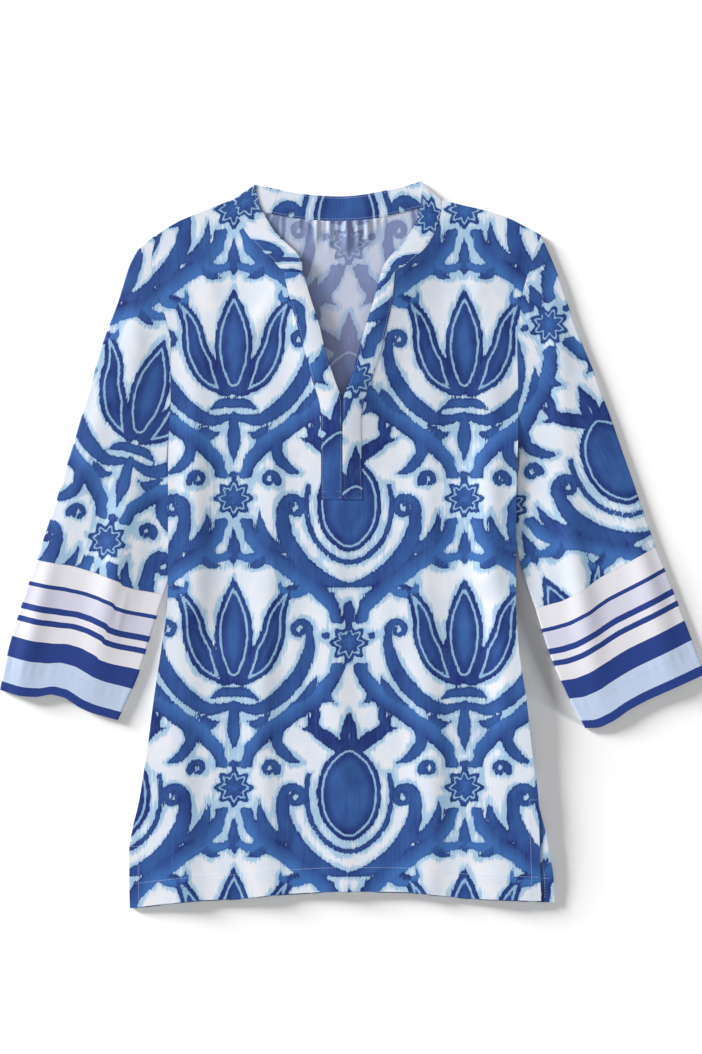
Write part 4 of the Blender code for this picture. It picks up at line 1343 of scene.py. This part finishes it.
def placket_runs(side, lift):
    """Beside the seam, beside the free edge and twice across the foot, where
    the strip is a little thicker."""
    up = np.linspace(SLIT_UP + 2, v_corner(side)[1] - 2, 200)
    seam = placket_seam(side, up) - side * PLACKET_STITCH_IN
    edge = placket_edge(side, up) + side * PLACKET_STITCH_IN
    foot = np.linspace(seam[0], edge[0], 20)
    runs = [on_cloth(across, up, front_height, lift + ABOVE_DOUBLED) for across in (seam, edge)]
    return runs + [on_cloth(foot, SLIT_UP + high, front_height, lift + ABOVE_DOUBLED + 0.08)
                   for high in (2, 9)]


cuff_stitches_left = sew("cuff_stitches_left", cuff_runs(SLEEVE_LEFT, -1, ON_LEFT))
cuff_stitches_right = sew("cuff_stitches_right", cuff_runs(SLEEVE_RIGHT, 1, ON_RIGHT))
band_stitches = sew("band_stitches", band_runs(0.55) + band_runs(7.45))
placket_stitches_left = sew("placket_stitches_left", placket_runs(-1, 0.0))
placket_stitches_right = sew("placket_stitches_right", placket_runs(1, UPPER_LIFT))

# %% [markdown]
# ## Threads, frayed dye and colour
#
# Three effects are shared by all the cloths, so each is a node group with
# named inputs and outputs. "threads" is the weave: two sets of fine ribs, the
# crinkle of twisted yarn and a few thicker yarns. Its shade output is painted
# shade and light: it darkens the colour where the threads lie low and lightens
# it where they stand high. "frayed" moves the edge of a dyed shape to and fro
# along the threads, which is what gives ikat its comb edge. "dye" turns the
# distances kept at the vertices into blue on white. All of them read the
# piece's own cloth coordinates, in metres, so the pattern runs with the cloth
# and not with the table.

# %% Small helpers for nodes
def srgb(red, green, blue):
    """A colour given as 0 to 255 on screen, as linear light: below 0.04045 it
    is c / 12.92, above it ((c + 0.055) / 1.055) to the power 2.4."""
    c = np.array([red, green, blue]) / 255
    linear = np.where(c <= 0.04045, c / 12.92, ((c + 0.055) / 1.055) ** 2.4)
    return (*linear.tolist(), 1.0)


GROUND = srgb(240, 240, 246)
DEEP_BLUE = srgb(18, 41, 114)
MID_BLUE = srgb(60, 110, 180)
PALE_BLUE = srgb(156, 196, 228)
WASHED_GROUND = srgb(226, 234, 246)
# Ground of the wrong side: partly dye come through and partly painted shade, so it is much darker
# than GROUND.
REVERSE_DYE_AND_SHADE = srgb(168, 174, 206)
THREAD = srgb(206, 213, 233)


def is_socket(value):
    """True for a node's socket, false for a plain value."""
    return isinstance(value, bpy.types.NodeSocket)


def fill(made, values):
    """Links a socket to each named input of a node, or sets its plain value."""
    for title, value in values.items():
        if is_socket(value):
            value.id_data.links.new(value, made.inputs[title])
        else:
            made.inputs[title].default_value = value


def node(kind, values, tree=None, **settings):
    """A node with its settings made and its inputs filled in. It goes into the
    tree of the first socket among its values, unless a tree is given."""
    tree = tree or next(filter(is_socket, values.values())).id_data
    made = tree.nodes.new("ShaderNode" + kind)
    for title, value in settings.items():
        setattr(made, title, value)
    fill(made, values)
    return made


def new_group(name, inputs, outputs):
    """A node group with the named sockets: the group, what it is given and its
    output node. Each input is its name, its kind and its value, if it has one."""
    group = bpy.data.node_groups.new(name, "ShaderNodeTree")
    add = group.interface.new_socket
    for title, kind, *value in inputs:
        socket = add(name=title, in_out="INPUT", socket_type="NodeSocket" + kind)
        if value:
            socket.default_value = value[0]
    for title, kind in outputs:
        add(name=title, in_out="OUTPUT", socket_type="NodeSocket" + kind)
    return group, group.nodes.new("NodeGroupInput").outputs, group.nodes.new("NodeGroupOutput")


def maths(operation, *values):
    """One sum on numbers or sockets; its result is a socket."""
    return node("Math", dict(enumerate(values)), operation=operation).outputs[0]


def times_plus(value, factor, term):
    """value * factor + term."""
    return maths("MULTIPLY_ADD", value, factor, term)


def scaled(vector, factor):
    """A vector or colour times a number."""
    return node("VectorMath", {0: vector, "Scale": factor}, operation="SCALE").outputs[0]


def noise(where, across, along, detail=2.0, rough=0.5):
    """Soft noise, about 0.5 in the middle. The place is multiplied apart, so
    that there are this many blotches to the metre across and along."""
    spread = node("VectorMath", {0: where, 1: (across, along, 1.0)}, operation="MULTIPLY")
    values = {"Vector": spread.outputs[0], "Scale": 1.0, "Detail": detail, "Roughness": rough}
    return node("TexNoise", values).outputs["Fac"]


def blend_colours(share, first, second):
    """First where share is 0, second where it is 1."""
    return node("Mix", {0: share, 6: first, 7: second}, data_type="RGBA").outputs[2]


def soft_mask(value, low, high):
    """1 at low and 0 at high, smooth between. Low may be the greater."""
    values = {"Value": value, "From Min": low, "From Max": high, "To Min": 1.0, "To Max": 0.0}
    return node("MapRange", values, interpolation_type="SMOOTHSTEP").outputs["Result"]


print("colours:", len({GROUND, DEEP_BLUE, MID_BLUE, PALE_BLUE, REVERSE_DYE_AND_SHADE}))

# %% Threads
threads, given, result = new_group(
    "threads",
    [("Cloth", "Vector"), ("Rib spacing", "Float", 0.00042), ("Crinkle", "Float", 1.0)],
    [("Height", "Float"), ("Painted shade", "Float")])
per_rib = maths("DIVIDE", 2 * math.pi, given["Rib spacing"])
ribs = node("SeparateXYZ", {0: scaled(given["Cloth"], per_rib)}).outputs
crossing = maths("MULTIPLY", maths("SINE", ribs["X"]), maths("SINE", ribs["Y"]))
crinkle = noise(given["Cloth"], 900.0, 620.0, 3.0, 0.6)
thick_yarn = noise(given["Cloth"], 1500.0, 26.0, 1.0)
thick_weft = noise(given["Cloth"], 22.0, 1300.0, 1.0)
grain = times_plus(crinkle, given["Crinkle"], maths("MULTIPLY", crossing, 0.22))
height = times_plus(maths("ADD", thick_yarn, thick_weft), 0.35, grain)
# Painted shade and light of the weave: the colour is darker where the threads lie low and lighter
# where they stand high.
shade = times_plus(maths("SUBTRACT", height, 0.85), 0.16, 1.0)
fill(result, {"Height": height, "Painted shade": shade})
print("threads group:", len(threads.nodes), "nodes")

# %% Frayed edges
frayed, given, result = new_group(
    "frayed",
    [("Cloth", "Vector"), ("Distance", "Float", 0.0), ("Reach", "Float", 1.0)],
    [("Distance", "Float")])
comb = times_plus(noise(given["Cloth"], 620.0, 95.0, 2.0, 0.6), 6.4, -3.2)
brush = times_plus(noise(given["Cloth"], 150.0, 60.0, 1.0), 2.6, -1.3)
moved = times_plus(maths("ADD", comb, brush), given["Reach"], given["Distance"])
fill(result, {"Distance": moved})
print("frayed group:", len(frayed.nodes), "nodes")

# %% Dye
dye, given, result = new_group(
    "dye",
    [("Cloth", "Vector"), ("Ink", "Float", 9.0), ("Core", "Float", 9.0), ("Tone", "Float", 0.3)],
    [("Color", "Color")])
blots = noise(given["Cloth"], 46.0, 30.0)
streaks = noise(given["Cloth"], 420.0, 24.0, 2.0, 0.6)
uneven = maths("ADD", times_plus(blots, 1.5, -0.75), times_plus(streaks, 0.9, -0.45))
halo_edge = maths("ADD", given["Ink"], times_plus(blots, 14.0, -7.4))
halo_edge = times_plus(streaks, 9.0, maths("SUBTRACT", halo_edge, 4.5))
halo = maths("MULTIPLY", soft_mask(halo_edge, 0.0, 4.4), 0.9)
washed = blend_colours(soft_mask(blots, 0.62, 0.30), GROUND, WASHED_GROUND)
paper = blend_colours(halo, washed, PALE_BLUE)
near_edge = maths("MULTIPLY", soft_mask(given["Ink"], 0.0, -4.0), -0.3)
lighter = maths("ADD", maths("ADD", given["Tone"], near_edge), times_plus(uneven, 0.6, 0.14))
lighter = node("Clamp", {"Value": lighter}).outputs["Result"]
heart = soft_mask(maths("ADD", given["Core"], maths("MULTIPLY", streaks, 8.0)), -14.0, -5.0)
blue = blend_colours(times_plus(heart, 0.42, lighter), DEEP_BLUE, MID_BLUE)
cover = soft_mask(given["Ink"], -1.0, -0.1)
ring = maths("ABSOLUTE", maths("ADD", given["Core"], 6.2))
pale_line = maths("MULTIPLY", soft_mask(ring, 0.7, 1.5), maths("MULTIPLY", cover, 0.85))
colour = blend_colours(pale_line, blend_colours(cover, paper, blue), PALE_BLUE)
fill(result, {"Color": colour})
print("dye group:", len(dye.nodes), "nodes")

# %% [markdown]
# ## The cloths
#
# The printed cloth is a light crepe with a soft sheen. Its wrong side shows
# the print only faintly, as dye that has come through, on a grey-lilac ground
# that is partly that dye and partly painted shade. The neck band and the
# plackets are the same cloth doubled and pressed. The cuffs are woven stripes,
# placed by how far down the cuff a point lies.

# %% Printed cloth
CREPE = {"Sheen Weight": 0.06, "Sheen Roughness": 0.45, "Specular IOR Level": 0.28}
REVERSE_SHARE = 0.52  # of REVERSE_DYE_AND_SHADE in the wrong side's colour
BUMP_HIGH = 0.0002


def new_material(name, looks):
    """A material and its shader, with some of the shader's inputs set."""
    material = bpy.data.materials.new(name)
    material.use_nodes = True
    shader = material.node_tree.nodes["Principled BSDF"]
    fill(shader, looks)
    return material, shader


def fray(where, distance, reach):
    """A distance with its edge moved to and fro along the threads."""
    values = {"Cloth": where, "Distance": distance, "Reach": reach}
    return node("Group", values, node_tree=frayed).outputs["Distance"]


def damask(where, reach):
    """The print's colour, from the ink, core and tone kept at the vertices."""
    kept = node("Attribute", {}, where.id_data, attribute_name="dye").outputs["Vector"]
    parts = node("SeparateXYZ", {0: kept}).outputs
    values = {"Cloth": where, "Ink": fray(where, parts["X"], reach),
              "Core": fray(where, parts["Y"], 0.6 * reach), "Tone": parts["Z"]}
    return node("Group", values, node_tree=dye).outputs["Color"]


def cloth_material(name, drawing, reach, crinkle, relief, rough):
    """Weave over the colour of a drawing, whose edges fray by reach. A painted
    shade from the threads' height multiplies the colour, darker where they lie
    low and lighter where they stand high; their height also goes to a Bump and
    varies the roughness. The wrong side has a paler print on a ground greyed
    partly by dye and partly by painted shade."""
    material, shader = new_material(name, CREPE)
    tree = material.node_tree
    where = node("Attribute", {}, tree, attribute_name="cloth").outputs["Vector"]
    side = node("Attribute", {}, tree, attribute_name="right_side").outputs["Fac"]
    weave = node("Group", {"Cloth": where, "Crinkle": crinkle}, node_tree=threads).outputs
    colour = drawing(where, reach)
    # The wrong side's colour: mixed with a grey-lilac that is partly dye come through and partly
    # painted shade.
    reverse = blend_colours(REVERSE_SHARE, colour, REVERSE_DYE_AND_SHADE)
    both = blend_colours(soft_mask(side, 0.4, 0.6), colour, reverse)
    bump = node("Bump", {"Height": weave["Height"], "Strength": relief, "Distance": BUMP_HIGH})
    fill(shader, {"Base Color": scaled(both, weave["Painted shade"]),
                  "Roughness": times_plus(weave["Height"], 0.10, rough - 0.08),
                  "Normal": bump.outputs["Normal"]})
    return material


printed_crepe = cloth_material("printed_crepe", damask, 0.8, 1.0, 0.5, 0.58)
pressed_crepe = cloth_material("pressed_crepe", damask, 0.7, 0.7, 0.35, 0.52)
print("nodes in the printed crepe:", len(printed_crepe.node_tree.nodes))

# %% Striped cloth
STRIPE_BLUE = srgb(32, 60, 136)
STRIPES = (  # depth of each stripe in mm, from the print to the hem, and its colour
    (22.3, srgb(236, 234, 240)),
    (4.2, STRIPE_BLUE),
    (19.1, srgb(219, 218, 236)),
    (6.3, STRIPE_BLUE),
    (7.4, srgb(232, 231, 241)),
    (5.9, STRIPE_BLUE),
    (16.9, srgb(236, 234, 240)),
    (21.2, STRIPE_BLUE),
    (26.5, srgb(198, 214, 240)),
    (9.6, STRIPE_BLUE),
)
STARTS = np.cumsum([0.0] + [depth for depth, _ in STRIPES])


def striped(where, reach):
    """Stripes by the depth below the sleeve: a ramp of flat colours, whose
    stops are the stripes' starts as shares of the cuff's length."""
    depth = maths("MULTIPLY", node("SeparateXYZ", {0: where}).outputs["Y"], 1 / MM)
    ramp = node("ValToRGB", {0: maths("DIVIDE", fray(where, depth, reach), CUFF_LENGTH)})
    ramp.color_ramp.interpolation = "CONSTANT"
    stops = ramp.color_ramp.elements
    for n, (start, (_, colour)) in enumerate(zip(STARTS / CUFF_LENGTH, STRIPES)):
        stop = stops[n] if n < 2 else stops.new(start)
        stop.position = start
        stop.color = colour
    return ramp.outputs["Color"]


striped_crepe = cloth_material("striped_crepe", striped, 0.10, 0.8, 0.4, 0.55)
print("stripes:", len(STRIPES), "in", round(STARTS[-1], 1), "mm")

# %% Sewing thread
sewing_thread, shader = new_material("sewing_thread", {"Sheen Weight": 0.2})
spot = node("TexCoord", {}, sewing_thread.node_tree).outputs["Object"]
twist = noise(spot, 2600.0, 2600.0)
fill(shader, {"Base Color": scaled(THREAD[:3], times_plus(twist, 0.16, 0.92)),
              "Roughness": times_plus(twist, 0.2, 0.38)})
print("thread nodes:", len(sewing_thread.node_tree.nodes))

# %% [markdown]
# ## Putting the cloths on
#
# Each cloth stands for one solid, which is hidden, takes its finish and rides
# on the root body, and so do its stitches.

# %% Cloths in place
CLOTHS = (  # solid, cloth, its stitches, finish, slot
    ("back_panel", back_cloth, back_stitches, printed_crepe, "printed_cloth"),
    ("front_panel", front_cloth, front_stitches, printed_crepe, "printed_cloth"),
    ("sleeve_left", sleeve_left, None, printed_crepe, "printed_cloth"),
    ("sleeve_right", sleeve_right, None, printed_crepe, "printed_cloth"),
    ("cuff_left", cuff_left, cuff_stitches_left, striped_crepe, "striped_cuff_cloth"),
    ("cuff_right", cuff_right, cuff_stitches_right, striped_crepe, "striped_cuff_cloth"),
    ("collar_band", neck_band, band_stitches, pressed_crepe, "printed_band_cloth"),
    ("placket_left", placket_left, placket_stitches_left, pressed_crepe, "printed_band_cloth"),
    ("placket_right", placket_right, placket_stitches_right, pressed_crepe, "printed_band_cloth"),
)
for solid, piece, sewing, finish, slot in CLOTHS:
    piece.data.materials.append(finish)
    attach(piece, "root")
    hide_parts(solid)
    if sewing:
        sewing.data.materials.append(sewing_thread)
        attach(sewing, "root")
STITCHES = [row[2] for row in CLOTHS if row[2]]
print("cloths:", len(CLOTHS), "with", len(STITCHES), "sets of stitches")

# %% [markdown]
# ## Table and light
#
# The table is a plain pale top, and the light comes low from the upper left.
# In a photo studio one large lamp shapes the ridges of the cloth and throws a
# long soft shadow on the white table, and white walls send some of it back
# from the lower right. Here each job has a sun of its own, and light linking
# names what each may shine on, so the shadow can be long and pale while the
# ridges stay clear. The light sent back on the table is held off by the right
# sleeve alone, which makes the gap beside it the darkest place. The room's
# even light comes from the world, which looks paler past the table's edge than
# the light that it gives.

# %% Table
TABLE_HALF = 15.0
TABLE_UP = -0.0003
SQUARE = ((-1, -1), (1, -1), (1, 1), (-1, 1))
corners = np.array([(x * TABLE_HALF, y * TABLE_HALF, TABLE_UP) for x, y in SQUARE])
table_top = in_scene("table_top", new_mesh("table_top", corners, np.array([[0, 1, 2, 3]])))
TABLE_LOOKS = {"Base Color": (0.95, 0.95, 0.95, 1), "Roughness": 0.9, "Specular IOR Level": 0.1}
table_paint, _ = new_material("table_paint", TABLE_LOOKS)
table_top.data.materials.append(table_paint)

# %% Light
FROM_LAMP = (-0.87, 0.50)  # towards the light, across and up the picture
FROM_WALL = (0.87, -0.50)
ROOM_COLOUR = (0.97, 0.98, 1.0, 1)
ROOM_GIVES = 0.24
ROOM_LOOKS = 0.60  # what the camera sees on top of that


def collected(name, pieces):
    """A collection of these pieces, to link with a light."""
    made = bpy.data.collections.new(name)
    for piece in pieces:
        made.objects.link(piece)
    return made


def add_sun(name, towards, height, energy, spread, receivers, blockers=None):
    """A sun at this height in degrees, which shines on receivers only and is
    held off by blockers only, if they are given. Its rays go along -Z, so it
    is tipped about Y and turned about Z."""
    sun = bpy.data.lights.new(name, "SUN")
    sun.energy = energy
    sun.angle = math.radians(spread)
    placed = in_scene(name, sun)
    turn = math.atan2(-towards[1], -towards[0])
    placed.rotation_euler = (0, -math.radians(90 - height), turn)
    placed.light_linking.receiver_collection = collected(name + "_lights", receivers)
    if blockers:
        placed.light_linking.blocker_collection = collected(name + "_held_off_by", blockers)


ALL_CLOTHS = [row[1] for row in CLOTHS] + STITCHES
add_sun("cloth_light", FROM_LAMP, 20, 4.0, 20, ALL_CLOTHS)
add_sun("cloth_fill", FROM_LAMP, 90, 0.80, 100, ALL_CLOTHS)
add_sun("table_light", FROM_LAMP, 6.5, 18.2, 17, [table_top])
add_sun("table_fill", FROM_WALL, 3.6, 11.6, 6.4, [table_top], [sleeve_right, cuff_right])
world = bpy.data.worlds.new("pale_room")
world.use_nodes = True
seen = node("LightPath", {}, world.node_tree).outputs["Is Camera Ray"]
fill(world.node_tree.nodes["Background"],
     {"Color": ROOM_COLOUR, "Strength": times_plus(seen, ROOM_LOOKS, ROOM_GIVES)})
bpy.context.scene.world = world
bpy.context.scene.view_settings.view_transform = "Standard"
